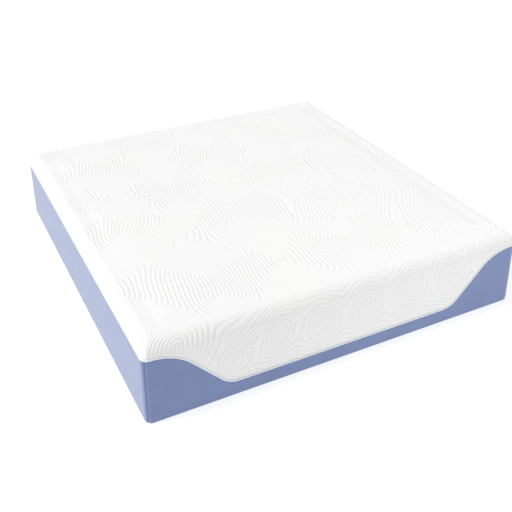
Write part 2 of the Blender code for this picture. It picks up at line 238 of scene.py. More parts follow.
def top_grid(cell, rim, ring):
    """Vertices and faces of the top inside the rim, as a Coons patch through the rim's points."""
    counts = column_counts(cell)
    nx, ny = counts["foot"], counts["right"]
    index = np.zeros((nx + 1, ny + 1), int)
    index[:nx, 0] = rim[:nx]
    index[nx, :ny] = rim[nx : nx + ny]
    index[nx:0:-1, ny] = rim[nx + ny : 2 * nx + ny]
    index[0, ny:0:-1] = rim[2 * nx + ny :]
    edge = ring[index]
    u = np.linspace(0, 1, nx + 1)[:, None, None]
    v = np.linspace(0, 1, ny + 1)[None, :, None]
    across = (1 - v) * edge[:, :1] + v * edge[:, -1:]
    along = (1 - u) * edge[:1] + u * edge[-1:]
    low = (1 - u) * edge[:1, :1] + u * edge[-1:, :1]
    high = (1 - u) * edge[:1, -1:] + u * edge[-1:, -1:]
    inner = (across + along - (1 - v) * low - v * high)[1:-1, 1:-1].reshape(-1, 3)
    inner[:, 2] = crown_height(inner[:, 0], inner[:, 1])
    index[1:-1, 1:-1] = len(ring) + np.arange(len(inner)).reshape(nx - 1, ny - 1)
    corners = (index[:-1, :-1], index[1:, :-1], index[1:, 1:], index[:-1, 1:])
    return inner, np.stack(corners, axis=-1).reshape(-1, 4).tolist(), index


def grid_skin(cell, ends, radius=CORNER_RADIUS):
    """A skin over the top and down the sides, with each column cut off at its own end."""
    places, faces, rim, hem, column, arc = column_mesh(cell, ends, radius)
    inner, top_faces, index = top_grid(cell, rim, places)
    return np.vstack([places, inner]), faces + top_faces, hem, column, arc, index


# Meshes and how they are moved


def new_piece(name, places, faces, material=None):
    """A smooth-shaded mesh object, made from points and faces."""
    mesh = bpy.data.meshes.new(name)
    mesh.from_pydata(np.asarray(places).tolist(), [], faces)
    mesh.update()
    mesh.shade_smooth()
    if material:
        mesh.materials.append(material)
    piece = bpy.data.objects.new(name, mesh)
    bpy.context.scene.collection.objects.link(piece)
    return piece


def declare(piece, slot, *nodes, body="mattress"):
    """Ties a piece to its body and hides the CAD nodes it stands for. The slot is not used."""
    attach(piece, body)
    if nodes:
        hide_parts(*nodes)


def mesh_facts(mesh):
    """The vertices' normals and the edges' two ends."""
    normals = np.zeros(len(mesh.vertices) * 3)
    mesh.vertices.foreach_get("normal", normals)
    ends = np.zeros(len(mesh.edges) * 2, int)
    mesh.edges.foreach_get("vertices", ends)
    return normals.reshape(-1, 3), ends.reshape(-1, 2).T


def form_facts(places, faces):
    """The same for a mesh that isn't kept."""
    form = new_piece("form", places, faces)
    facts = mesh_facts(form.data)
    bpy.data.objects.remove(form, do_unlink=True)
    return facts


def spread(values, edges, passes):
    """Evens out a value per vertex over its neighbours."""
    a, b = edges
    size = len(values)
    links = np.bincount(a, minlength=size) + np.bincount(b, minlength=size)
    for _ in range(passes):
        total = np.bincount(a, values[b], size) + np.bincount(b, values[a], size)
        values = (values + total / links) / 2
    return values


def store(mesh, name, values):
    """Keeps numbers on a mesh's vertices for its material."""
    values = np.asarray(values, np.float32)
    kind, field = ("FLOAT", "value") if values.ndim == 1 else ("FLOAT_VECTOR", "vector")
    attribute = mesh.attributes.new(name, kind, "POINT")
    attribute.data.foreach_set(field, values.ravel())


def shaped_piece(name, shapes, material):
    """One mesh object from several closed shapes: places, faces and places on the flat cloth."""
    places, faces, cloth = [], [], []
    for shape_places, shape_faces, shape_cloth in shapes:
        first = sum(len(group) for group in places)
        places.append(np.asarray(shape_places, float))
        cloth.append(np.asarray(shape_cloth, float))
        faces += [tuple(first + i for i in face) for face in shape_faces]
    piece = new_piece(name, np.vstack(places), faces, material)
    store(piece.data, "cloth", np.vstack(cloth))
    return piece


def tube_faces(rings, around, turned=False):
    """Quads between neighbouring closed rings of vertices, with a cap at each end."""
    index = np.arange(rings * around).reshape(rings, around)
    after = np.roll(index, -1, axis=1)
    corners = [index[:-1], index[1:], after[1:], after[:-1]]
    caps = [index[0], index[-1][::-1]]
    if turned:
        corners = [corners[0], *corners[:0:-1]]
        caps = [cap[::-1] for cap in caps]
    return np.stack(corners, axis=-1).reshape(-1, 4).tolist() + [cap.tolist() for cap in caps]


def flipped(faces, first=0):
    """Faces seen from behind, their vertices numbered from first."""
    return [tuple(first + i for i in reversed(face)) for face in faces]


def circle(count):
    return np.linspace(0, TAU, count, endpoint=False)


def ease(value, width):
    """From 0 to 1 as value goes from 0 to width."""
    share = np.clip(value / width, 0, 1)
    return share * share * (3 - 2 * share)


def hump(value, centre, width):
    return np.exp(-(((value - centre) / width) ** 2))


# How the foam pushes the cover out: a cloth simulation on a coarse closed body

SIM_CELL = 0.045
SIM_FRAMES = 20
SIM_PRESSURE = 0.016
PUFF_LIMIT = 0.005
SEAM_HOLD = 0.035


def simulate_puff():
    """How far the cover moves outwards: a grid for the top and one for each side."""
    seam = seam_ends(SIM_CELL, 0)
    ends = np.full(len(seam), BASE_ARC)
    places, faces, hem, column, arc, index = grid_skin(SIM_CELL, ends)
    body = new_piece("puff_body", places, [*faces, tuple(int(i) for i in reversed(hem))])
    normals, _ = mesh_facts(body.data)
    held = (np.abs(arc - seam[column]) < SEAM_HOLD / 2) | (arc > BASE_ARC - SEAM_HOLD)
    pins = body.vertex_groups.new(name="pins")
    pins.add(np.flatnonzero(held).tolist(), 1.0, "REPLACE")
    settings = body.modifiers.new("cloth", "CLOTH").settings
    settings.use_pressure = True
    settings.uniform_pressure_force = SIM_PRESSURE
    settings.vertex_group_mass = "pins"
    settings.effector_weights.gravity = 0
    settings.quality = 5
    scene = bpy.context.scene
    for step in range(1, SIM_FRAMES + 1):
        scene.frame_set(step)
    moved = body.evaluated_get(bpy.context.evaluated_depsgraph_get()).data
    after = np.zeros(len(places) * 3)
    moved.vertices.foreach_get("co", after)
    push = ((after.reshape(-1, 3) - places) * normals).sum(axis=1)
    scene.frame_set(1)
    bpy.data.objects.remove(body, do_unlink=True)
    push = PUFF_LIMIT * np.tanh(push / PUFF_LIMIT)
    walls = push[: len(arc)].reshape(len(ends), -1)
    grids = {"top": push[index]}
    start = 0
    for side, count in column_counts(SIM_CELL).items():
        grids[side] = walls[np.arange(start, start + count + 1) % len(ends)]
        start += count
    return grids


def sample(grid, x_share, y_share):
    """A grid's value at fractions of its length and width, straight between its points."""
    x = np.clip(x_share, 0, 1) * (grid.shape[0] - 1)
    y = np.clip(y_share, 0, 1) * (grid.shape[1] - 1)
    i = np.minimum(x.astype(int), grid.shape[0] - 2)
    j = np.minimum(y.astype(int), grid.shape[1] - 2)
    fx, fy = x - i, y - j
    low = grid[i, j] * (1 - fx) + grid[i + 1, j] * fx
    high = grid[i, j + 1] * (1 - fx) + grid[i + 1, j + 1] * fx
    return low * (1 - fy) + high * fy


PUFF = simulate_puff()


# Materials


class Painter:
    """A material's node tree, built by short calls that return sockets."""

    def __init__(self, name, **inputs):
        self.material = bpy.data.materials.new(name)
        self.material.use_nodes = True
        self.tree = self.material.node_tree
        self.shader = self.tree.nodes["Principled BSDF"]
        self.fill(self.shader, {key.replace("_", " "): value for key, value in inputs.items()})

    def fill(self, node, inputs):
        for key, value in inputs.items():
            if isinstance(value, bpy.types.NodeSocket):
                self.tree.links.new(value, node.inputs[key])
            else:
                node.inputs[key].default_value = value

    def node(self, kind, inputs=(), **settings):
        node = self.tree.nodes.new(kind)
        for key, value in settings.items():
            setattr(node, key, value)
        self.fill(node, dict(inputs))
        return node

    def math(self, operation, a, b=0.0, c=0.0):
        return self.node("ShaderNodeMath", {0: a, 1: b, 2: c}, operation=operation).outputs[0]

    def times(self, a, b):
        return self.math("MULTIPLY", a, b)

    def times_add(self, a, b, c):
        return self.math("MULTIPLY_ADD", a, b, c)

    def sine(self, value, length):
        """A wave of this length."""
        return self.math("SINE", self.times(value, TAU / length))

    def stored(self, name, output="Fac"):
        """A number or a vector kept on the mesh."""
        return self.node("ShaderNodeAttribute", attribute_name=name).outputs[output]

    def noise(self, vector, scale, detail=3.0, roughness=0.6):
        inputs = {"Vector": vector, "Scale": scale, "Detail": detail, "Roughness": roughness}
        return self.node("ShaderNodeTexNoise", inputs).outputs["Fac"]

    def stretch(self, vector, factors):
        inputs = {0: vector, 1: factors}
        return self.node("ShaderNodeVectorMath", inputs, operation="MULTIPLY").outputs[0]

    def parts(self, vector):
        node = self.node("ShaderNodeSeparateXYZ", {0: vector})
        return node.outputs["X"], node.outputs["Y"], node.outputs["Z"]

    def remap(self, value, to_low, to_high, from_low=0.3, from_high=0.7):
        """A value moved to another range. Noise lies mostly between 0.3 and 0.7."""
        inputs = {0: value, 1: from_low, 2: from_high, 3: to_low, 4: to_high}
        return self.node("ShaderNodeMapRange", inputs).outputs[0]

    def blend(self, share, first, second, mode="MIX"):
        """Two colours mixed. A colour is a socket or red, green and blue."""
        node = self.node("ShaderNodeMix", data_type="RGBA", blend_type=mode)
        colours = [(*value, 1) if isinstance(value, tuple) else value for value in (first, second)]
        self.fill(node, dict(zip((0, 6, 7), (share, *colours))))
        return node.outputs[2]

    def shade(self, colour, value):
        return self.blend(1.0, colour, value, "MULTIPLY")

    def bump(self, height, distance, strength=1.0, below=None):
        inputs = {"Height": height, "Distance": distance, "Strength": strength}
        if below:
            inputs["Normal"] = below
        return self.node("ShaderNodeBump", inputs).outputs["Normal"]

    def finish(self, colour=None, normal=None, roughness=None):
        inputs = {"Base Color": colour, "Normal": normal, "Roughness": roughness}
        self.fill(self.shader, {name: socket for name, socket in inputs.items() if socket})
        return self.material

    def knit(self, cloth, wale, course):
        """Height of rows of small V-shaped stitches, this wide and this tall, from 0 to 1."""
        across, up, _ = self.parts(cloth)
        column = self.math("PINGPONG", self.math("DIVIDE", across, wale), 0.5)
        slant = self.times_add(column, 1.1, self.math("DIVIDE", up, course))
        loop = self.math("SMOOTH_MAX", self.math("PINGPONG", slant, 0.5), 0.12, 0.1)
        rib = self.math("POWER", self.sine(column, 1), 2.0)
        return self.times(loop, self.times_add(rib, 0.8, 0.6))


def textile(name, roughness, sheen, sheen_roughness):
    """A textile's painter, and where each point lies on the flat cloth."""
    paint = Painter(name, Roughness=roughness, Sheen_Weight=sheen, Sheen_Roughness=sheen_roughness)
    return paint, paint.stored("cloth", "Vector")


PITCH = 0.018


def make_white_knit():
    """White jacquard knit: swirl ridges from the mesh's phase, with stitches over them."""
    paint, cloth = textile("white_knit", 0.8, 0.15, 0.5)
    relief = paint.stored("relief")
    phase = paint.times(paint.stored("phase"), TAU / PITCH)
    wave = paint.times_add(paint.math("COSINE", phase), 0.5, 0.5)
    groove = paint.times(paint.math("POWER", paint.math("SUBTRACT", 1.0, wave), 3.0), relief)
    fibre = paint.noise(cloth, 260.0)
    tint = paint.blend(paint.noise(cloth, 2.2, 2.0, 0.5), (0.90, 0.895, 0.885), (0.885, 0.89, 0.895))
    # Painted shade: the grooves are darkened in the colour, more where the relief is deeper. The tint and
    # fibre noise are the knit's own uneven tone.
    colour = paint.shade(tint, paint.times_add(groove, -0.05, paint.remap(fibre, 0.97, 1.0)))
    stitches = paint.bump(paint.knit(cloth, 0.0018, 0.0014), 0.0003, 0.35)
    fuzz = paint.bump(fibre, 0.0004, 0.3, stitches)
    return paint.finish(colour, paint.bump(paint.times(groove, -1.0), 0.0014, 0.7, fuzz))


def make_blue_knit():
    """Periwinkle-blue knit of mixed light and dark fibres."""
    paint, cloth = textile("blue_knit", 0.9, 0.75, 0.4)
    heather = paint.noise(paint.stretch(cloth, (1.0, 2.5, 1.0)), 420.0, roughness=0.7)
    mix = paint.remap(heather, 0.0, 1.0, 0.32, 0.68)
    colour = paint.blend(mix, (0.163, 0.220, 0.425), (0.219, 0.287, 0.50))
    colour = paint.shade(colour, paint.remap(paint.noise(cloth, 7.0, 2.0, 0.5), 0.96, 1.03))
    stitches = paint.bump(paint.knit(cloth, 0.0016, 0.0012), 0.0003, 0.4)
    return paint.finish(colour, paint.bump(heather, 0.0003, 0.3, stitches))


def make_binding_knit():
    """Smooth bias tape in a cool white, with a fine slanting weave."""
    paint, cloth = textile("white_binding", 0.6, 0.2, 0.4)
    along, around, _ = paint.parts(cloth)
    weave = paint.sine(paint.math("ADD", along, around), 0.0009)
    fibre = paint.noise(cloth, 300.0)
    colour = paint.shade((0.84, 0.855, 0.90), paint.remap(fibre, 0.96, 1.0))
    gathers = paint.noise(paint.stretch(cloth, (1.0, 0.25, 1.0)), 90.0, 2.0, 0.5)
    return paint.finish(colour, paint.bump(gathers, 0.0006, 0.4, paint.bump(weave, 0.0002, 0.3)))


def make_cord_blue():
    """The blue of the borders, as a spun cord."""
    paint, cloth = textile("cord_blue", 0.85, 0.3, 0.4)
    fibre = paint.noise(paint.stretch(cloth, (1.0, 3.0, 1.0)), 500.0, roughness=0.7)
    colour = paint.blend(paint.remap(fibre, 0.0, 1.0), (0.15, 0.20, 0.40), (0.21, 0.27, 0.48))
    return paint.finish(colour, paint.bump(fibre, 0.0003, 0.4))


def make_bottom_fabric():
    """Grey-blue woven cloth, with darker rubber where the dots are."""
    paint, cloth = textile("bottom_fabric", 0.9, 0.2, 0.5)
    x, y, _ = paint.parts(cloth)
    weave = paint.times(paint.sine(x, 0.0016), paint.sine(y, 0.0016))
    fibre = paint.noise(cloth, 200.0)
    # A little darker in the weave's hollows: painted shade. The fibre noise is the cloth's own uneven tone.
    shade = paint.times_add(weave, 0.05, paint.remap(fibre, 0.9, 1.05))
    dot = paint.stored("dot")
    colour = paint.blend(dot, paint.shade((0.27, 0.29, 0.35), shade), (0.10, 0.105, 0.115))
    bump = paint.bump(paint.times(weave, paint.math("SUBTRACT", 1.0, dot)), 0.0003, 0.5)
    return paint.finish(colour, bump, paint.remap(dot, 0.9, 0.55, 0.0, 1.0))


def make_foam(name, low, high, pore):
    """Open-cell foam of this pore size: small pits, and faint waves left by the cutting wire."""
    paint = Painter(name, Roughness=0.95, Subsurface_Weight=0.1)
    cloth = paint.stored("cloth", "Vector")
    inputs = {"Vector": cloth, "Scale": 1 / pore, "Randomness": 1.0}
    pits = paint.node("ShaderNodeTexVoronoi", inputs, feature="F1").outputs["Distance"]
    tone = paint.noise(cloth, 9.0)
    # Darker at the middle of each pit: painted shade in the pores. The tone noise is the foam's own uneven
    # colour.
    colour = paint.blend(paint.times_add(pits, 0.6, paint.times(tone, 0.6)), low, high)
    waves = paint.bump(paint.sine(paint.parts(cloth)[2], 0.011), 0.0004, 0.2)
    return paint.finish(colour, paint.bump(pits, 0.0006, 0.7, waves))


def make_wadding():
    """White polyester fibre, matted in all directions."""
    paint, cloth = textile("wadding", 1.0, 0.5, 0.6)
    ways = [paint.noise(paint.stretch(cloth, way), 60.0, 4.0, 0.7) for way in ((1, 9, 1), (9, 1, 1))]
    fibre = paint.math("MAXIMUM", *ways)
    colour = paint.blend(fibre, (0.70, 0.70, 0.67), (0.86, 0.86, 0.84))
    clumps = paint.bump(paint.noise(cloth, 14.0, 2.0, 0.5), 0.002, 0.5)
    return paint.finish(colour, paint.bump(fibre, 0.0010, 0.6, clumps))


def make_sock_knit():
    """Off-white fire barrier: a loose knit of matt yarn."""
    paint, cloth = textile("sock_knit", 0.95, 0.2, 0.5)
    loops = paint.knit(cloth, 0.0026, 0.0020)
    yarn = paint.noise(cloth, 220.0, roughness=0.7)
    # Darker where the loops dip: painted shade between the loops. The yarn noise is the yarn's own uneven
    # tone.
    colour = paint.blend(loops, (0.44, 0.42, 0.36), (0.62, 0.60, 0.53))
    colour = paint.shade(colour, paint.remap(yarn, 0.9, 1.03))
    return paint.finish(colour, paint.bump(loops, 0.0006, 0.6))


def make_zip_tape():
    """Navy polyester tape in a fine herringbone."""
    paint, cloth = textile("zip_tape", 0.75, 0.3, 0.4)
    along, across, _ = paint.parts(cloth)
    ribs = paint.sine(paint.math("ADD", along, paint.math("PINGPONG", across, 0.0012)), 0.0007)
    fibre = paint.noise(cloth, 500.0, roughness=0.7)
    # Lighter on the ribs and darker between them: painted shade. The fibre noise is the tape's own uneven
    # tone.
    mix = paint.times_add(ribs, 0.25, paint.remap(fibre, 0.2, 0.8))
    colour = paint.blend(mix, (0.035, 0.050, 0.15), (0.065, 0.090, 0.24))
    return paint.finish(colour, paint.bump(ribs, 0.0002, 0.5))


def make_zip_coil():
    """Navy nylon filament, smooth and a little shiny."""
    paint = Painter("zip_coil", Roughness=0.38, Specular_IOR_Level=0.5)
    drift = paint.noise(paint.stored("cloth", "Vector"), 120.0)
    colour = paint.blend(drift, (0.030, 0.042, 0.13), (0.050, 0.068, 0.19))
    return paint.finish(colour, paint.bump(drift, 0.0002, 0.3), paint.remap(drift, 0.30, 0.48))


def make_thread():
    """Plied sewing thread in the borders' blue."""
    paint, cloth = textile("thread", 0.6, 0.3, 0.3)
    along, around, _ = paint.parts(cloth)
    ply = paint.sine(paint.math("ADD", along, around), 0.0006)
    # Darker in the hollows between the plies and lighter on their crests: painted shade.
    colour = paint.blend(paint.times_add(ply, 0.4, 0.5), (0.15, 0.19, 0.38), (0.27, 0.33, 0.55))
    return paint.finish(colour, paint.bump(ply, 0.0001, 0.6))


def make_zip_metal():
    """Cast zinc with a dull nickel finish: rubbed brighter in places, with hairline scratches."""
    paint = Painter("zip_metal", Metallic=1.0, Roughness=0.35)
    place = paint.stored("cloth", "Vector")
    wear = paint.noise(place, 180.0, 4.0, 0.6)
    scratch = paint.noise(paint.stretch(place, (1.0, 1.0, 0.08)), 2600.0, 2.0, 0.5)
    colour = paint.blend(wear, (0.42, 0.43, 0.45), (0.62, 0.63, 0.65))
    rough = paint.remap(paint.math("ADD", wear, scratch), 0.24, 0.46, 0.7, 1.3)
    cast = paint.bump(wear, 0.0001, 0.4)
    return paint.finish(colour, paint.bump(scratch, 0.00005, 0.3, cast), rough)


WHITE_KNIT = make_white_knit()
BLUE_KNIT = make_blue_knit()
WHITE_BINDING = make_binding_knit()
CORD_BLUE = make_cord_blue()
BOTTOM_FABRIC = make_bottom_fabric()
ZIP_TAPE = make_zip_tape()
ZIP_COIL = make_zip_coil()
ZIP_METAL = make_zip_metal()
THREAD = make_thread()
WADDING = make_wadding()
SOCK_KNIT = make_sock_knit()


# The swirl relief of the white knit: rings round short lines, which flow together between them

RELIEF = 0.0013
MERGE = 0.030
WARP = 0.028
DRAWN_OUT = 0.85
RIM_Y = LENGTH / 2 - SHOULDER_IN

# Each apron ring: its centre as distance from the middle and height, half its line's length, and
# how far out it starts, which leaves it less room beside its neighbours
APRON_RINGS = ((-0.77, 0.33, 0.02, 0.0), (-0.485, 0.185, 0.03, 0.05), (-0.343, 0.243, 0.03, 0.0),
               (-0.129, 0.236, 0.02, 0.0), (0.09, 0.25, 0.03, 0.01), (0.307, 0.265, 0.03, 0.0),
               (0.53, 0.262, 0.02, 0.0), (0.75, 0.31, 0.02, 0.0))

# Centres of the rings on the top, and how their lines lean
TOP_RINGS = ((-0.53, -0.76), (0.20, -0.73), (0.84, -0.68), (-0.72, -0.10), (-0.16, -0.20),
             (0.38, -0.28), (0.92, -0.12), (-0.38, 0.13), (0.27, 0.13), (0.62, 0.04),
             (-0.64, 0.58), (-0.02, 0.48), (0.55, 0.50), (1.00, 0.38), (-0.92, 0.25),
             (-0.32, 0.84), (0.28, 0.86), (0.83, 0.80), (-0.90, 0.90))
TOP_LEAN = radians(-10)
LEAN_SCATTER = 0.15
TOP_HALF = 0.07
HALF_SCATTER = 0.02


def ring_lines():
    """Each set of rings on the flat cloth: the centre, direction and half-length of the line inside
    it, how far it starts out, and how much it is drawn out along the line."""
    lines = []
    for x, height, half, start in APRON_RINGS:
        y = -RIM_Y - float(arc_at(height))
        lines += [((sign * x, sign * y), pi / 2, half, start, 1.0) for sign in (1, -1)]
    scatter = np.random.default_rng(11)
    for centre in TOP_RINGS:
        lean, length = scatter.uniform(-1, 1, 2)
        angle = pi / 2 + TOP_LEAN + LEAN_SCATTER * lean
        lines.append((centre, angle, TOP_HALF + HALF_SCATTER * length, 0.0, DRAWN_OUT))
    return lines


def bend(x, y):
    """The slow waves that keep the rings from being regular."""
    slow = WARP * np.sin(TAU * (y / 0.83 + 0.25 * x))
    fast = WARP / 6 * np.sin(TAU * (x + y) / 0.31)
    return x + slow + fast, y + WARP * np.sin(TAU * (x / 0.71 + 0.1))


def swirl_phase(x, y):
    """Distance outwards through the rings, in metres, at points of the flat cloth."""
    u, v = bend(x, y)
    total = np.zeros(len(u))
    for centre, angle, half, start, squeeze in ring_lines():
        cx, cy = bend(*centre)
        run = (u - cx) * cos(angle) + (v - cy) * sin(angle)
        off = (v - cy) * cos(angle) - (u - cx) * sin(angle)
        distance = np.hypot(squeeze * np.maximum(np.abs(run) - half, 0), off)
        total += np.exp(-(start + distance) / MERGE)
    return -MERGE * np.log(total)


def lengthwise(x, y, phase):
    """1 where the ridges run along the mattress, 0 where they run across it."""
    step = 0.001
    slope_x = swirl_phase(x + step, y) - phase
    slope_y = swirl_phase(x, y + step) - phase
    return (slope_x**2 / (slope_x**2 + slope_y**2 + 1e-12)) ** 2


# White cover

COVER_CELL = 0.0045
LINING_CELL = 0.036
COVER_OFFSET = 0.0045
COVER_THICK = 0.0045
WHITE_RADIUS = 0.022
CORNER_FADE = 0.010
PUFF_PASSES = 40

# The shoulder's roll and the crease behind it: height, place past the rim and width. The crease
# gets deeper by up to CREASE_MORE and shallower again as it goes round.
ROLL = (0.0020, 0.03, 0.04)
CREASE = (-0.0010, -0.055, 0.03)
CREASE_MORE = -0.0022
CREASE_WAVE = 0.9

# Depth and width of the darts at the corners and of the tuck at the hem
DART = (-0.0022, 0.004)
TUCK = (-0.0016, 0.005)

# Share of the relief that is left on ridges across the mattress: on the top, and more on the sides
CROSS_RELIEF = 0.2
CROSS_RELIEF_MORE = 0.7


def white_skin(cell, offset):
    """The whole white skin: top, shoulders and aprons down to the seam."""
    sides, shares = column_shares(cell)
    ends = seam_ends(cell, offset, WHITE_RADIUS)
    places, faces, hem, column, arc, index = grid_skin(cell, ends, WHITE_RADIUS)
    return {
        "places": places, "faces": faces, "hem": hem, "sides": sides[column],
        "shares": shares[column], "arc": arc, "below": ends[column] - arc, "index": index,
    }


def cover_fields(skin):
    """For each vertex: its place on the flat cloth, the simulated puff, and its distance past the
    rim, from a corner seam and from the hem. The flat cloth is the top as it is, with the sides
    folded up beside it."""
    places, arc, index = skin["places"], skin["arc"], skin["index"]
    cloth = places.copy()
    cloth[:, 2] = 0
    to_edge = np.minimum(WIDTH / 2 - np.abs(places[:, 0]), LENGTH / 2 - np.abs(places[:, 1]))
    past = -(to_edge - SHOULDER_IN)
    past[: len(arc)] = arc
    corner, hem, puff = np.ones(len(places)), np.ones(len(places)), np.zeros(len(places))
    hem[: len(arc)] = skin["below"]
    shares = [np.linspace(0, 1, count) for count in index.shape]
    puff[index] = sample(PUFF["top"], *np.meshgrid(*shares, indexing="ij"))
    for side, (along, out) in SIDES.items():
        here = np.flatnonzero(skin["sides"] == side)
        share = skin["shares"][here]
        corner[here] = np.minimum(share, 1 - share) * 2 * half_size(along)
        puff[here] = sample(PUFF[side], share, arc[here] / BASE_ARC)
        rim = wall_points(side, share, np.zeros(len(here)), WHITE_RADIUS)
        cloth[here, :2] = rim[:, :2] + arc[here, None] * np.array(out)
    return cloth, puff, past, corner, hem


def cover_shape(skin):
    """The skin's vertices moved outwards, by puff, shoulder roll, corner darts and swirl ridges,
    and what the material reads."""
    cloth, puff, past, corner, hem = cover_fields(skin)
    places = skin["places"]
    normals, edges = form_facts(places, skin["faces"])
    puff = spread(puff, edges, PUFF_PASSES) * ease(hem, 0.05)
    sway = 0.5 + 0.5 * np.sin(TAU * (places[:, 0] + 0.7 * places[:, 1]) / CREASE_WAVE)
    roll = ROLL[0] * hump(past, *ROLL[1:]) + (CREASE[0] + CREASE_MORE * sway) * hump(past, *CREASE[1:])
    dart = DART[0] * np.exp(-corner / DART[1]) * ease(past, 0.03)
    tuck = TUCK[0] * np.exp(-hem / TUCK[1])
    relief = ease(hem - 0.003, 0.010) * (1 - (1 - ease(corner, CORNER_FADE)) * ease(past, 0.02))
    phase = swirl_phase(cloth[:, 0], cloth[:, 1])
    least = CROSS_RELIEF + CROSS_RELIEF_MORE * ease(past, SHOULDER_IN)
    relief *= least + (1 - least) * lengthwise(cloth[:, 0], cloth[:, 1], phase)
    ridges = -RELIEF * (0.5 - 0.5 * np.cos(TAU * phase / PITCH)) ** 1.5 * relief
    push = puff + roll + dart + tuck + ridges
    return places + normals * push[:, None], {"cloth": cloth, "phase": phase, "relief": relief}


def loop_shares(cell):
    sides, shares = column_shares(cell)
    order = list(SIDES)
    return [order.index(side) + share for side, share in zip(sides, shares)]


def join_loops(outer, outer_cell, inner, inner_cell):
    """Triangles between the ends of two skins' columns, whose counts are unlike."""
    outer_next, inner_next = ([*loop_shares(cell)[1:], 4.0] for cell in (outer_cell, inner_cell))
    faces = []
    i, j = 0, 0
    while i < len(outer) or j < len(inner):
        a, b = outer[i % len(outer)], inner[j % len(inner)]
        if j >= len(inner) or (i < len(outer) and outer_next[i] <= inner_next[j]):
            i += 1
            faces.append((a, b, outer[i % len(outer)]))
        else:
            j += 1
            faces.append((a, b, inner[j % len(inner)]))
    return faces


def make_cover():
    """One closed piece: the fine outer skin, a coarse lining behind it, and the hem between."""
    outer = white_skin(COVER_CELL, COVER_OFFSET)
    shaped, fields = cover_shape(outer)
    inner = white_skin(LINING_CELL, COVER_OFFSET + 0.001)
    normals, _ = form_facts(inner["places"], inner["faces"])
    behind = inner["places"] - normals * COVER_THICK
    first = len(shaped)
    faces = outer["faces"] + flipped(inner["faces"], first)
    inner_hem = (inner["hem"] + first).tolist()
    faces += join_loops(outer["hem"].tolist(), COVER_CELL, inner_hem, LINING_CELL)
    cover = new_piece("cover", np.vstack([shaped, behind]), faces, WHITE_KNIT)
    for name, values in fields.items():
        rest = np.zeros((len(behind), *values.shape[1:]))
        store(cover.data, name, np.concatenate([values, rest]))
    declare(cover, "white_knit", "top_cover")


make_cover()


# Blue borders

SEAM_ROWS = (0.0, 0.0008, 0.002, 0.004, 0.007)
END_STEPS = (0.0, 0.0006, 0.0015, 0.003, 0.006, 0.010)
CORNER_GAP = 0.0022
BORDER_CELL = 0.009
BORDER_ROWS = 36
HEM_HEIGHTS = (0.014, 0.010, 0.0075, 0.005, 0.0028, 0.0012, 0.0003, 0.0)
LINING_HEIGHT = 0.012
PUFF_FADE = 0.03
SEAM_TUCK = (0.0020, 0.003)
END_TUCK = (0.0016, 0.0015)
SLOT_END = ZIP_BOX[1].x + 0.0045
SLOT_Z = (ZIP_BOX[0].z + ZIP_BOX[1].z) / 2
ZIP_QUIET = 0.020

# Rows of the zip pocket, upper half: height over the zip's middle and depth behind the wall
POCKET_ROWS = (
    (0.0160, 0.0), (0.0125, 0.0004), (0.0108, 0.0010), (0.0101, 0.0022), (0.0100, 0.0034),
    (0.0145, 0.0038), (0.0145, 0.0090),
)


def border_shares(side):
    """Fractions along a side, close together at the corner seams."""
    run = 2 * half_size(SIDES[side][0]) - 2 * CORNER_RADIUS * (1 - pi / 4)
    ends = [CORNER_GAP + step for step in END_STEPS]
    middle = np.linspace(ends[-1], run - ends[-1], round(run / BORDER_CELL))
    if side == "head":
        slot_ends = [run / 2 + sign * (SLOT_END + step) for sign in (-1, 1) for step in (0, 0.0004)]
        middle = np.sort(np.concatenate([middle, slot_ends]))
    return np.array([*ends[:-1], *middle, *[run - end for end in reversed(ends[:-1])]]) / run, run


def border_arcs(side, share):
    """Arc lengths of the rows down each column, from the seam to the base."""
    top = seam_arc(side, share, -SEAM_SPACE)
    rows = [top + step for step in SEAM_ROWS]
    low = arc_at(np.array(HEM_HEIGHTS))
    if side == "head":
        reach = POCKET_ROWS[0][0]
        low = np.concatenate([arc_at(SLOT_Z + np.linspace(reach, -reach, 2 * len(POCKET_ROWS))), low])
    rows += [rows[-1] * (1 - step) + low[0] * step for step in np.linspace(0, 1, BORDER_ROWS)[1:]]
    rows += [np.full(share.shape, arc) for arc in (*low[1:], BASE_ARC)]
    return np.stack(rows, axis=1), top


def cut_pocket(places, first):
    """Draws the rows over the zip into the border, as the pocket that the tapes are sewn in."""
    rows = [*POCKET_ROWS, *[(-height, depth) for height, depth in reversed(POCKET_ROWS)]]
    inside = np.abs(places[:, first, 0]) < SLOT_END + 0.0002
    for step, (height, depth) in enumerate(rows):
        places[inside, first + step, 2] = SLOT_Z + height
        places[inside, first + step, 1] -= depth


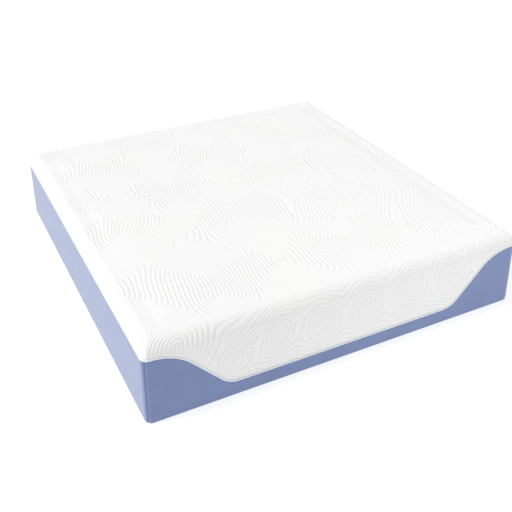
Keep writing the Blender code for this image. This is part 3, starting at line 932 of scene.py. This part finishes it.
def make_border(side):
    """A padded border from corner seam to corner seam, drawn in at its seams."""
    share, run = border_shares(side)
    arcs, top = border_arcs(side, share)
    columns, rows = arcs.shape
    shares = np.broadcast_to(share[:, None], arcs.shape)
    outer = wall_points(side, shares, arcs)
    low = np.full(columns, float(arc_at(LINING_HEIGHT)))
    inner_arcs = np.stack([low, top + 0.02, top + 0.001], axis=1)
    inner_shares = np.broadcast_to(share[:, None], inner_arcs.shape)
    inner = wall_points(side, inner_shares, inner_arcs, depth=BORDER_DEPTH - 0.001)
    around = rows + inner_arcs.shape[1]
    places = np.concatenate([outer, inner], axis=1).reshape(-1, 3)
    border = new_piece(side + "_border_cover", places, tube_faces(columns, around, True), BLUE_KNIT)
    mesh = border.data
    normals, edges = mesh_facts(mesh)
    from_seam = arcs - top[:, None]
    from_end = np.minimum(share, 1 - share)[:, None] * run - CORNER_GAP
    puff = sample(PUFF[side], shares.ravel(), arcs.ravel() / BASE_ARC).reshape(arcs.shape)
    push = np.zeros((columns, around))
    push[:, :rows] = puff * ease(from_seam, PUFF_FADE) * ease(from_end, PUFF_FADE)
    if side == "head":
        push[:, :rows] *= ease(np.abs(outer[..., 2] - SLOT_Z) - ZIP_QUIET, 0.04)
    push = spread(push.ravel(), edges, 12).reshape(columns, around)
    for (tuck, width), distance in ((SEAM_TUCK, from_seam), (END_TUCK, from_end)):
        push[:, :rows] -= tuck * np.exp(-distance / width)
    push[:, rows - 1 :] = 0
    places += normals * push.reshape(-1, 1)
    if side == "head":
        cut_pocket(places.reshape(columns, around, 3), len(SEAM_ROWS) + BORDER_ROWS - 2)
    mesh.vertices.foreach_set("co", places.ravel())
    mesh.update()
    cloth = np.zeros((columns, around, 3))
    cloth[:, :rows, 0] = shares * run
    cloth[:, :rows, 1] = -arcs
    store(mesh, "cloth", cloth.reshape(-1, 3))
    declare(border, "blue_knit", side + "_border")


for border_side in SIDES:
    make_border(border_side)


# Bindings: the white edge sewn into the seam, a flattened cord with small gathers

BINDING_HALF = 0.0046
BINDING_PROUD = 0.0029
BINDING_OFFSET = 0.0010
BINDING_DEPTH = 0.0006
BINDING_CELL = 0.004
BINDING_SIDES = 14
GATHERS = (0.021, 0.034, 0.055, 0.13)


def sweep_shape(path, outward, sections):
    """A closed tube along a path. Each of the sections is a ring of (across, outward) offsets, or
    one ring serves for all."""
    along = np.gradient(path, axis=0)
    along /= np.linalg.norm(along, axis=1)[:, None]
    outward = outward - (outward * along).sum(axis=1)[:, None] * along
    outward /= np.linalg.norm(outward, axis=1)[:, None]
    across = np.cross(outward, along)
    rings = path[:, None] + sections[..., :1] * across[:, None] + sections[..., 1:] * outward[:, None]
    count, around = rings.shape[:2]
    cloth = np.zeros((count, around, 3))
    steps = np.linalg.norm(np.diff(path, axis=0), axis=1)
    cloth[..., 0] = np.concatenate([[0], np.cumsum(steps)])[:, None]
    cloth[..., 1] = np.linspace(0, 1, around) * TAU * np.abs(sections).max()
    return rings.reshape(-1, 3), tube_faces(count, around), cloth.reshape(-1, 3)


def surface_line(side, share, arc, depth):
    """Points on a side and the ways out of it there."""
    deep = wall_points(side, share, arc, depth=depth)
    return deep, wall_points(side, share, arc) - wall_points(side, share, arc, depth=0.001)


def wander(run, seed, lengths):
    """A gentle unsteadiness along a run, about -1 to 1, from a few waves."""
    phases = np.random.default_rng(seed).uniform(0, TAU, len(lengths))
    waves = [np.sin(TAU * run / length + phase) for length, phase in zip(lengths, phases)]
    return sum(waves) / len(lengths)


def make_binding(side, seed):
    length = 2 * half_size(SIDES[side][0])
    share = np.linspace(0, 1, round(length / BINDING_CELL) + 1)
    path, outward = surface_line(side, share, seam_arc(side, share, BINDING_OFFSET), BINDING_DEPTH)
    run = share * length
    plump = 1 + 0.06 * wander(run, seed, GATHERS) * ease(np.minimum(run, run[-1] - run), 0.03)
    turn = circle(BINDING_SIDES)
    ring = np.stack([BINDING_HALF * np.cos(turn), BINDING_PROUD * np.sin(turn)], axis=1)
    shape = sweep_shape(path, outward, ring * plump[:, None, None])
    declare(shaped_piece(side + "_piping", [shape], WHITE_BINDING), "white_binding", side + "_binding")


# Corner seams: a twisted blue cord in the groove between two borders

CORD_RADIUS = 0.0021
CORD_DEPTH = 0.0011
CORD_TWIST = 0.009
CORD_SIDES = 16
CORD_CELL = 0.0016
CORD_LOW = HEM_RADIUS + 0.004
CORD_HIGH = SEAM_HIGH - 0.0045


def make_corner_seam(side, name):
    levels = np.linspace(CORD_LOW, CORD_HIGH, round((CORD_HIGH - CORD_LOW) / CORD_CELL))
    path, outward = surface_line(side, np.zeros(len(levels)), arc_at(levels), CORD_DEPTH)
    turn = circle(CORD_SIDES)[None, :]
    ply = 1 + 0.10 * np.cos(2 * turn - TAU * levels[:, None] / CORD_TWIST)
    taper = 0.6 + 0.4 * ease(np.minimum(levels - CORD_LOW, CORD_HIGH - levels), 0.004)
    radius = CORD_RADIUS * ply * taper[:, None]
    sections = np.stack([radius * np.cos(turn), radius * np.sin(turn)], axis=-1)
    seam = shaped_piece(name + "_cord", [sweep_shape(path, outward, sections)], CORD_BLUE)
    declare(seam, "blue_knit", name)


for seed, seam_side in enumerate(SIDES):
    make_binding(seam_side, seed)
for seam_side, corner in (("foot", "foot_left"), ("right", "foot_right"),
                          ("head", "head_right"), ("left", "head_left")):
    make_corner_seam(seam_side, "corner_seam_" + corner)


# Bottom panel: a taut non-slip cloth with rows of small grip dots

DOT_SPACE = 0.034
DOT_RADIUS = 0.0042
DOT_HEIGHT = 0.0010
DOT_SIDES = 8
DOT_RINGS = ((DOT_RADIUS, DOT_HEIGHT), (DOT_RADIUS * 0.8, 0.0003), (DOT_RADIUS * 0.5, 0.0))
ROW_SPACE = 0.866
PANEL_RADIUS = 0.016
QUARTERS = (((1, 1), (-1, 0)), ((-1, 1), (0, -1)), ((-1, -1), (1, 0)), ((1, -1), (0, 1)))


def round_rectangle(half, radius, corner_steps, cell=None):
    """Points round a rectangle with round corners, and with a cell, also along its sides."""
    ring = []
    for quarter, ((side_x, side_y), way) in enumerate(QUARTERS):
        centre = (side_x * (half[0] - radius), side_y * (half[1] - radius))
        for turn in np.linspace(quarter, quarter + 1, corner_steps) * pi / 2:
            ring.append((centre[0] + radius * cos(turn), centre[1] + radius * sin(turn)))
        if cell:
            run = 2 * (half[quarter % 2] - radius)
            steps = round(run / cell)
            start = ring[-1]
            for step in range(1, steps):
                reach = run * step / steps
                ring.append((start[0] + way[0] * reach, start[1] + way[1] * reach))
    return np.array(ring)


def grip_dots():
    """Places and faces of the dots: low, round-shouldered, in staggered rows."""
    places, faces = [], []
    rows = int(PANEL_BOX[1].y / (DOT_SPACE * ROW_SPACE)) - 1
    columns = int(PANEL_BOX[1].x / DOT_SPACE) - 1
    dot, turn = tube_faces(len(DOT_RINGS), DOT_SIDES), circle(DOT_SIDES)
    for row in range(-rows, rows + 1):
        for column in range(-columns, columns + 1):
            x = (column + 0.5 * (row % 2)) * DOT_SPACE
            y = row * DOT_SPACE * ROW_SPACE
            faces += [tuple(len(places) + i for i in face) for face in dot]
            for radius, z in DOT_RINGS:
                places += [(x + radius * cos(a), y + radius * sin(a), z) for a in turn]
    return places, faces


def make_bottom_panel():
    top = PANEL_BOX[1].z - 0.0003
    rings = []
    for inset, z in ((0.004, top), (0.0012, top - 0.0006), (0.0, top - 0.0022), (0.0008, 0.0018),
                     (0.005, 0.0010), (0.012, 0.0010)):
        half = (PANEL_BOX[1].x - inset, PANEL_BOX[1].y - inset)
        ring = round_rectangle(half, PANEL_RADIUS - inset / 2, 7)
        rings.append(np.column_stack([ring, np.full(len(ring), z)]))
    faces = tube_faces(len(rings), len(rings[0]))
    cloth_points = len(rings) * len(rings[0])
    dots, dot_faces = grip_dots()
    faces += [tuple(cloth_points + i for i in face) for face in dot_faces]
    places = np.vstack([*rings, dots])
    panel = new_piece("non_slip_panel", places, faces, BOTTOM_FABRIC)
    store(panel.data, "cloth", places * (1, 1, 0))
    store(panel.data, "dot", np.arange(len(places)) >= cloth_points)
    declare(panel, "bottom_fabric", "bottom_panel")


make_bottom_panel()


# Zip: two tapes behind the lips of the pocket, coil teeth, end stops, slider and pull

TAPE_REACH = 0.0142
TAPE_CELL = 0.006
TAPE_ROWS = (0.0033, 0.0036, 0.0045, 0.0070, 0.0095, 0.0120, TAPE_REACH)
TAPE_WAVE = 0.00015
TOOTH_PITCH = 0.0016
TOOTH_SIDES = 6
STITCH_PITCH = 0.0034
STITCH_LENGTH = 0.0026
STITCH_RADIUS = 0.00032
STITCH_HEIGHT = 0.0126

# A tooth's rings, from its root at the tape to its head past the middle: z, half x and half y
TOOTH_RINGS = ((0.0029, 0.00030, 0.0006), (0.0026, 0.00052, 0.0011), (0.0004, 0.00052, 0.0011),
               (-0.0005, 0.00066, 0.0012), (-0.0011, 0.00040, 0.0007))
CHAIN_STRIP = np.array([(-0.0030, -0.0003), (0.0030, -0.0003), (0.0030, 0.0001), (-0.0030, 0.0001)])


def make_tape(sign, node):
    """A woven tape, its inner edge thickened for the coil and its outer edge behind the lip."""
    low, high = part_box(node)
    width = high.x - low.x
    x = np.linspace(low.x, high.x, round(width / TAPE_CELL) + 1)[:, None]
    reach = np.array(TAPE_ROWS)[None, :]
    wave = TAPE_WAVE * np.sin(TAU * x / 0.083 + 3 * reach / TAPE_REACH) * ease(reach - 0.004, 0.004)
    front = high.y - 0.0001 - 0.0003 * ease(reach - 0.0036, 0.001) + wave
    x, z = (np.broadcast_to(values, front.shape) for values in (x, SLOT_Z + sign * reach))
    faces_in = np.stack([x, low.y + wave, z], axis=-1)[:, ::-1]
    places = np.concatenate([np.stack([x, front, z], axis=-1), faces_in], axis=1)
    faces = tube_faces(*places.shape[:2], True)
    if sign > 0:
        faces = flipped(faces)
    places = places.reshape(-1, 3)
    tape = shaped_piece(node + "_woven", [(places, faces, places[:, (0, 2, 1)])], ZIP_TAPE)
    declare(tape, "zip_fabric", node)


def make_chain():
    """All the teeth of both coils, in mesh, on a narrow strip that closes the view behind them."""
    low, high = ZIP_BOX
    turn = circle(TOOTH_SIDES)
    tooth = np.vstack([
        np.stack([half_x * np.cos(turn), (low.y + high.y) / 2 + half_y * np.sin(turn), z + 0 * turn], axis=1)
        for z, half_x, half_y in TOOTH_RINGS
    ])
    faces = tube_faces(len(TOOTH_RINGS), TOOTH_SIDES, True)
    shapes = []
    count = int((high.x - low.x) / TOOTH_PITCH) - 1
    for step in range(2 * count):
        sign = 1 if step % 2 else -1
        places = tooth * (1, 1, sign)
        places[:, 0] += low.x + (step / 2 + 1) * TOOTH_PITCH
        places[:, 2] += SLOT_Z
        shapes.append((places, faces if sign < 0 else flipped(faces), places))
    path = np.array([(x, low.y + 0.0004, SLOT_Z) for x in np.linspace(low.x, high.x, 60)])
    shapes.append(sweep_shape(path, np.array((0.0, 1.0, 0.0)), CHAIN_STRIP))
    declare(shaped_piece("zip_coil_teeth", shapes, ZIP_COIL), "zip_fabric", "zip_chain")


def loft_x(levels, sections):
    """A closed body through sections of (z, y) points, one at each level of x."""
    rings = [
        np.stack([np.full(len(ring), x), ring[:, 1], SLOT_Z + ring[:, 0]], axis=1)
        for x, ring in zip(levels, sections)
    ]
    places = np.vstack(rings)
    return places, flipped(tube_faces(len(rings), len(rings[0]), True)), places


# How far a stop is pressed in, and how wide the slider is, at fractions of their lengths
STOP_PRESS = ((0.0, 0.80), (0.04, 0.93), (0.14, 1.0), (0.34, 0.98), (0.5, 0.86), (0.66, 0.98),
              (0.86, 1.0), (0.96, 0.93), (1.0, 0.80))
SLIDER_WIDTHS = ((0.0, 0.70), (0.03, 0.77), (0.10, 0.82), (0.35, 0.84), (0.62, 0.96), (0.80, 1.0),
                 (0.92, 0.98), (0.98, 0.92), (1.0, 0.84))


def make_stop(node):
    """A metal clip crimped over the chain, pressed in at its middle."""
    low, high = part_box(node)
    turn = circle(20)
    soft = [np.sign(f) * np.sqrt(np.abs(f)) for f in (np.cos(turn), np.sin(turn))]
    half_z, middle, rise = (high.z - low.z) / 2, (low.y + high.y) / 2, (high.y - low.y) / 2
    sections = [
        np.stack([half_z * f * soft[0], middle + rise * f * soft[1]], axis=1) for _, f in STOP_PRESS
    ]
    levels = [low.x + (high.x - low.x) * share for share, _ in STOP_PRESS]
    declare(shaped_piece(node + "_clip", [loft_x(levels, sections)], ZIP_METAL), "zip_metal", node)


SLIDER_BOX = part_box("zip_slider")
SLIDER_WALL = 0.0012
SLIDER_SOFT = 0.0011
CHANNEL_Y = ZIP_BOX[1].y + 0.0004
PLATE_THICK = 0.0024
BAIL_RADIUS = 0.0007
BAIL_HALF = 0.0060
BAIL_BEND = 0.0012

# The pull's hinge: its axis runs along x through this point
HINGE = (0.884, 1.0168, 0.040)


def slider_section(half_z, top):
    """The slider's hollow section: a crowned plate with a flange down each side of the chain."""
    low = SLIDER_BOX[0].y
    turn = np.linspace(0, pi / 2, 5)
    corner = (half_z - SLIDER_SOFT, top - 0.0003 - SLIDER_SOFT)
    right = corner + SLIDER_SOFT * np.stack([np.cos(turn), np.sin(turn)], axis=1)
    crown = np.array([(half_z * 0.4, top - 0.0001), (0.0, top), (-half_z * 0.4, top - 0.0001)])
    inner = half_z - SLIDER_WALL
    inside = np.array([(-half_z, low), (-inner, low), (-inner, CHANNEL_Y), (inner, CHANNEL_Y),
                       (inner, low), (half_z, low)])
    return np.vstack([right, crown, right[::-1] * (-1, 1), inside])


def bail_shape():
    """The arch of flat wire that the pull's eye goes round, its top on the hinge's axis."""
    x, top, z = HINGE
    turn = np.linspace(0, pi / 2, 7)
    corner = (BAIL_HALF - BAIL_BEND, top - BAIL_BEND)
    half = corner + BAIL_BEND * np.stack([np.cos(turn), np.sin(turn)], axis=1)
    half = np.vstack([[BAIL_HALF, SLIDER_BOX[1].y - 0.0040], half])
    arch = np.vstack([half, half[::-1] * (-1, 1)])
    path = np.column_stack([x + arch[:, 0], arch[:, 1], np.full(len(arch), z)])
    around = circle(12)
    ring = np.stack([BAIL_RADIUS * np.cos(around), BAIL_RADIUS * np.sin(around)], axis=1)
    return sweep_shape(path, np.array((0.0, 0.0, 1.0)), ring)


def make_slider():
    """The slider: wide at the end where the tapes part, narrow at its tail, with the pull's bail."""
    low, high = SLIDER_BOX
    top, half = CHANNEL_Y + PLATE_THICK, (high.z - low.z) / 2
    levels = [low.x + (high.x - low.x) * share for share, _ in SLIDER_WIDTHS]
    sections = [slider_section(half * width, top - 0.0012 * (1 - width)) for _, width in SLIDER_WIDTHS]
    slider = shaped_piece("zip_slider_body", [loft_x(levels, sections), bail_shape()], ZIP_METAL)
    declare(slider, "zip_metal", "zip_slider", body="slider")


PULL_HALF = 0.0040
PULL_LENGTH = 0.024
PULL_THICK = 0.0008
EYE_OUTER = 0.0022
EYE_HOLE = 0.0012
EYE_HALF = 0.0030
EYE_SIDES = 24

# The tab across: places in half widths, and its thickness there at the recess and elsewhere
TAB_ACROSS = np.array([-1, -0.97, -0.88, -0.74, -0.62, 0, 0.62, 0.74, 0.88, 0.97, 1])
TAB_RECESS = np.array([0.35, 0.80, 1, 1, 0.55, 0.55, 0.55, 1, 1, 0.80, 0.35])
TAB_FLAT = np.array([0.35, 0.80, 1, 1, 1, 1, 1, 1, 1, 0.80, 0.35])
RECESS_TOP, RECESS_END = 0.0078, 0.0197
TAB_LEVELS = (0.0016, 0.003, 0.005, 0.0065, 0.0075, 0.008, *np.linspace(0.009, 0.0190, 11),
              0.0195, 0.0202, 0.0210, 0.0220, 0.0228, 0.0234, 0.0238, PULL_LENGTH)

# The eye's section, as offsets along the bail and radii, with small chamfers
EYE_SECTION = (
    (-EYE_HALF, EYE_OUTER - 0.0003), (-EYE_HALF + 0.0003, EYE_OUTER), (EYE_HALF - 0.0003, EYE_OUTER),
    (EYE_HALF, EYE_OUTER - 0.0003), (EYE_HALF, EYE_HOLE + 0.0002), (EYE_HALF - 0.0002, EYE_HOLE),
    (-EYE_HALF + 0.0002, EYE_HOLE), (-EYE_HALF, EYE_HOLE + 0.0002),
)


def pull_width(down):
    """Half the tab's width this far below the hinge: a neck, a waist and a round end."""
    neck = 0.62 + 0.38 * ease(down - 0.003, 0.006)
    past = np.clip(down - (PULL_LENGTH - PULL_HALF), 0, None) / PULL_HALF
    return PULL_HALF * np.minimum(neck, np.maximum(np.sqrt(np.clip(1 - past**2, 0, 1)), 0.05))


def make_pull():
    """The pull tab: an eye round the bail, and a plate with a raised rim round a long recess."""
    x, y, z = HINGE
    rings = []
    for down in TAB_LEVELS:
        thick = PULL_THICK * (TAB_RECESS if RECESS_TOP < down < RECESS_END else TAB_FLAT)
        if down > 0.0236:
            thick = thick * 0.6
        across = TAB_ACROSS * pull_width(down)
        ring = np.vstack([np.stack([across, thick], axis=1), np.stack([across, -thick], axis=1)[::-1]])
        rings.append(np.column_stack([x + ring[:, 0], y + ring[:, 1], np.full(len(ring), z - down)]))
    places = np.vstack(rings)
    tab = (places, tube_faces(len(rings), len(rings[0]), True), places)
    eye = np.array([(x + dx, y + r * cos(turn), z + r * sin(turn))
                    for dx, r in EYE_SECTION for turn in circle(EYE_SIDES)])
    index = np.arange(len(eye)).reshape(-1, EYE_SIDES)
    nearer = np.roll(index, -1, axis=0)
    corners = [index, nearer, np.roll(nearer, -1, axis=1), np.roll(index, -1, axis=1)]
    eye_faces = np.stack(corners, axis=-1).reshape(-1, 4).tolist()
    pull = shaped_piece("zip_pull_tab", [tab, (eye, eye_faces, eye)], ZIP_METAL)
    declare(pull, "zip_metal", "zip_pull", body="pull")


def make_topstitches():
    """A row of stitches above and below the pocket, which hold the tapes."""
    end = SLOT_END - 0.004
    shares = np.linspace(-1, 1, 7)
    turn = circle(6)
    radius = STITCH_RADIUS * np.sqrt(np.clip(1 - 0.6 * shares**4, 0.2, 1))
    sections = np.stack([np.cos(turn), np.sin(turn)], axis=1) * radius[:, None, None]
    shapes = []
    for sign in (-1, 1):
        for x in np.arange(-end, end, STITCH_PITCH):
            path = np.zeros((7, 3))
            path[:, 0] = x + (1 + shares) / 2 * STITCH_LENGTH
            path[:, 1] = LENGTH / 2 + STITCH_RADIUS * (1 - 2.4 * shares**4)
            path[:, 2] = SLOT_Z + sign * STITCH_HEIGHT
            shapes.append(sweep_shape(path, np.array((0.0, 1.0, 0.0)), sections))
    declare(shaped_piece("zip_topstitches", shapes, THREAD), "blue_knit")


make_tape(1, "zip_tape_upper")
make_tape(-1, "zip_tape_lower")
make_chain()
make_stop("zip_stop_left")
make_stop("zip_stop_right")
make_slider()
make_pull()
make_topstitches()


# Inside: four foam layers, the fire sock over them, and the wadding behind the white cover

LEAST_RADIUS = 0.012
CORE_DEPTH = 0.0158
SOCK_DEPTHS = (0.0141, 0.0149)
PADDING_DEPTHS = (0.0064, 0.0130)
SHELL_CELL = 0.022
CORNER_STEPS = 8
FOAM_CELL = 0.05
FOAM_WAVE = 0.0004
FOAM_EDGE = 0.0025
CAP_INSETS = (0.02, 0.06, 0.15, 0.30, 0.55, 0.85)
CORE_HALF = (WIDTH / 2 - CORE_DEPTH, LENGTH / 2 - CORE_DEPTH)

# The foams: dark and light colour, mixed by the foam's own uneven tone and by painted shade in the pits,
# pore size, and how much the layer's wall leans in
FOAMS = {
    "support_foam": ((0.42, 0.40, 0.34), (0.62, 0.60, 0.53), 0.0011, 0.0),
    "transition_foam": ((0.55, 0.55, 0.52), (0.76, 0.76, 0.73), 0.0010, 0.0),
    "memory_foam": ((0.58, 0.52, 0.33), (0.80, 0.74, 0.53), 0.0007, 0.006),
    "gel_memory_foam": ((0.10, 0.22, 0.45), (0.22, 0.42, 0.68), 0.0007, 0.0),
}


def foam_ring(inset, z, radius):
    """Points round the core at this height, drawn in to this far inside the mattress's outline."""
    ring = round_rectangle(CORE_HALF, max(radius, LEAST_RADIUS), CORNER_STEPS, FOAM_CELL)
    wave = 1 - FOAM_WAVE * (0.5 + 0.5 * np.sin(TAU * (ring.sum(axis=1) / 0.31 + z / 0.07)))
    scale = [(half - inset) / (half - CORE_DEPTH) for half in (WIDTH / 2, LENGTH / 2)]
    return np.column_stack([ring * wave[:, None] * scale, np.full(len(ring), z)])


def foam_wall(low, high, lean):
    """Sections of a foam layer's side from its rounded lower edge to its rounded upper one."""
    turn = np.linspace(0, pi / 2, 4)
    edge = [(FOAM_EDGE * (1 - sin(a)), FOAM_EDGE * (1 - cos(a))) for a in turn]
    sections = [(CORE_DEPTH + inset, low + up) for inset, up in edge]
    for share in np.linspace(0, 1, 8)[1:-1]:
        z = low + FOAM_EDGE + (high - low - 2 * FOAM_EDGE) * share
        sections.append((CORE_DEPTH + lean * max(0, share - 0.5) * 2, z))
    sections += [(CORE_DEPTH + lean + up, high - inset) for inset, up in edge]
    return [(inset, z, CORNER_RADIUS - inset) for inset, z in sections]


def gel_sections(low, high):
    """Sections of the top layer, which is rounded like the mattress's shoulders."""
    drop = SHOULDER_DOWN - CORE_DEPTH
    reach = SHOULDER_IN - CORE_DEPTH / 2
    sections = [(CORE_DEPTH + 0.0090, low, 0), (CORE_DEPTH + 0.0066, low + 0.002, 0)]
    for turn in np.linspace(0, pi / 2, 12):
        z = high - CROWN - drop + drop * sin(turn)
        if z > low + 0.004:
            sections.append((CORE_DEPTH + reach * (1 - cos(turn)), z, 0))
    return sections


def make_foam_layer(node):
    """A foam layer: side sections with the top and bottom closed in over a few inner rings."""
    dark, light, pore, lean = FOAMS[node]
    low, high = (corner.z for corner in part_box(node))
    gel = node == "gel_memory_foam"
    sections = gel_sections(low, high) if gel else foam_wall(low, high, lean)
    (under_edge, under_z, _), (over_edge, over_z, _) = sections[0], sections[-1]
    under = [(under_edge + inset, under_z, 0) for inset in reversed(CAP_INSETS)]
    for inset in CAP_INSETS:
        domed = 1 - (1 - min(1, inset / CROWN_REACH)) ** 2
        sections.append((over_edge + inset, over_z + (high - over_z) * domed, 0))
    rings = [foam_ring(*section) for section in under + sections]
    places = np.vstack(rings)
    shape = (places, tube_faces(len(rings), len(rings[0]), True), places)
    layer = shaped_piece(node + "_layer", [shape], make_foam(node, dark, light, pore))
    declare(layer, "gel_foam" if gel else node, node)


def make_shell(name, ends, depths, material):
    """A closed skin between two depths behind the outer form, down to the ends of its columns."""
    places, faces, hem, column, arc, _ = grid_skin(SHELL_CELL, ends)
    normals, _ = form_facts(places, faces)
    first = len(places)
    both = np.vstack([places - normals * depth for depth in depths])
    below = np.roll(hem, -1)
    faces += flipped(faces, first) + np.stack([hem, hem + first, below + first, below], axis=1).tolist()
    cloth = both * (1, 1, 0)
    for start in (0, first):
        cloth[start : start + len(column), 1] -= arc
    return shaped_piece(name, [(both, faces, cloth)], material)


def make_sock():
    drop = float(arc_at(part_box("fire_sock")[0].z + 0.0045))
    ends = np.full(len(column_shares(SHELL_CELL)[0]), drop)
    sock = make_shell("fire_sock_knit", ends, SOCK_DEPTHS, SOCK_KNIT)
    declare(sock, "sock_knit", "fire_sock")


def make_padding():
    padding = make_shell("quilt_wadding", seam_ends(SHELL_CELL, 0.008), PADDING_DEPTHS, WADDING)
    declare(padding, "padding", "quilt_padding")


for foam_node in FOAMS:
    make_foam_layer(foam_node)
make_sock()
make_padding()


# Floor, light and view

FLOOR_REACH = 30
DOME_RADIUS = 29


def add_stage(name, mesh, base, glow):
    """A matt stage piece in this grey, which also glows white this strongly."""
    stage = bpy.data.objects.new(name, mesh)
    bpy.context.scene.collection.objects.link(stage)
    paint = Painter(name, Base_Color=(base, base, base, 1), Roughness=1.0,
                    Emission_Color=(1, 1, 1, 1), Emission_Strength=glow)
    mesh.materials.append(paint.finish())
    return stage


def make_floor():
    mesh = bpy.data.meshes.new("floor")
    ways = ((-1, -1), (1, -1), (1, 1), (-1, 1))
    mesh.from_pydata([(FLOOR_REACH * x, FLOOR_REACH * y, 0) for x, y in ways], [], [(0, 1, 2, 3)])
    add_stage("floor", mesh, base=0.35, glow=0.75)


def make_backdrop():
    """A white dome far round the floor, seen by the camera but giving no light."""
    bm = bmesh.new()
    bmesh.ops.create_uvsphere(bm, u_segments=48, v_segments=24, radius=DOME_RADIUS)
    mesh = bpy.data.meshes.new("backdrop")
    bm.to_mesh(mesh)
    bm.free()
    dome = add_stage("backdrop", mesh, base=0, glow=1.0)
    for ray in ("diffuse", "glossy", "transmission", "volume_scatter", "shadow"):
        setattr(dome, "visible_" + ray, False)


def add_light(name, kind, energy, place, source, **settings):
    """A light at a place, which shines away from its source direction."""
    data = bpy.data.lights.new(name, kind)
    data.energy = energy
    for key, value in settings.items():
        setattr(data, key, value)
    light = bpy.data.objects.new(name, data)
    turn = source.to_track_quat("Z", "Y").to_matrix().to_4x4()
    light.matrix_world = Matrix.Translation(place) @ turn
    bpy.context.scene.collection.objects.link(light)


def make_light():
    """An even white studio, a soft sun from the left side and a weak lamp by the foot end."""
    world = bpy.data.worlds.new("studio")
    world.use_nodes = True
    background = world.node_tree.nodes["Background"]
    background.inputs["Color"].default_value = (1.0, 1.0, 1.0, 1)
    background.inputs["Strength"].default_value = 0.575
    bpy.context.scene.world = world
    turn, rise = radians(-103), radians(50)
    source = Vector((sin(turn) * cos(rise), -cos(turn) * cos(rise), sin(rise)))
    add_light("key", "SUN", 2.06, (0, 0, 0), source, angle=radians(14))
    place = Vector((1.6, -2.8, 0.9))
    add_light("fill", "AREA", 1.25, place, place - Vector((0.3, -1.0, 0.25)), shape="RECTANGLE",
              size=1.0, size_y=0.8, spread=radians(70))
    bpy.context.scene.view_settings.view_transform = "Standard"


make_floor()
make_backdrop()
make_light()
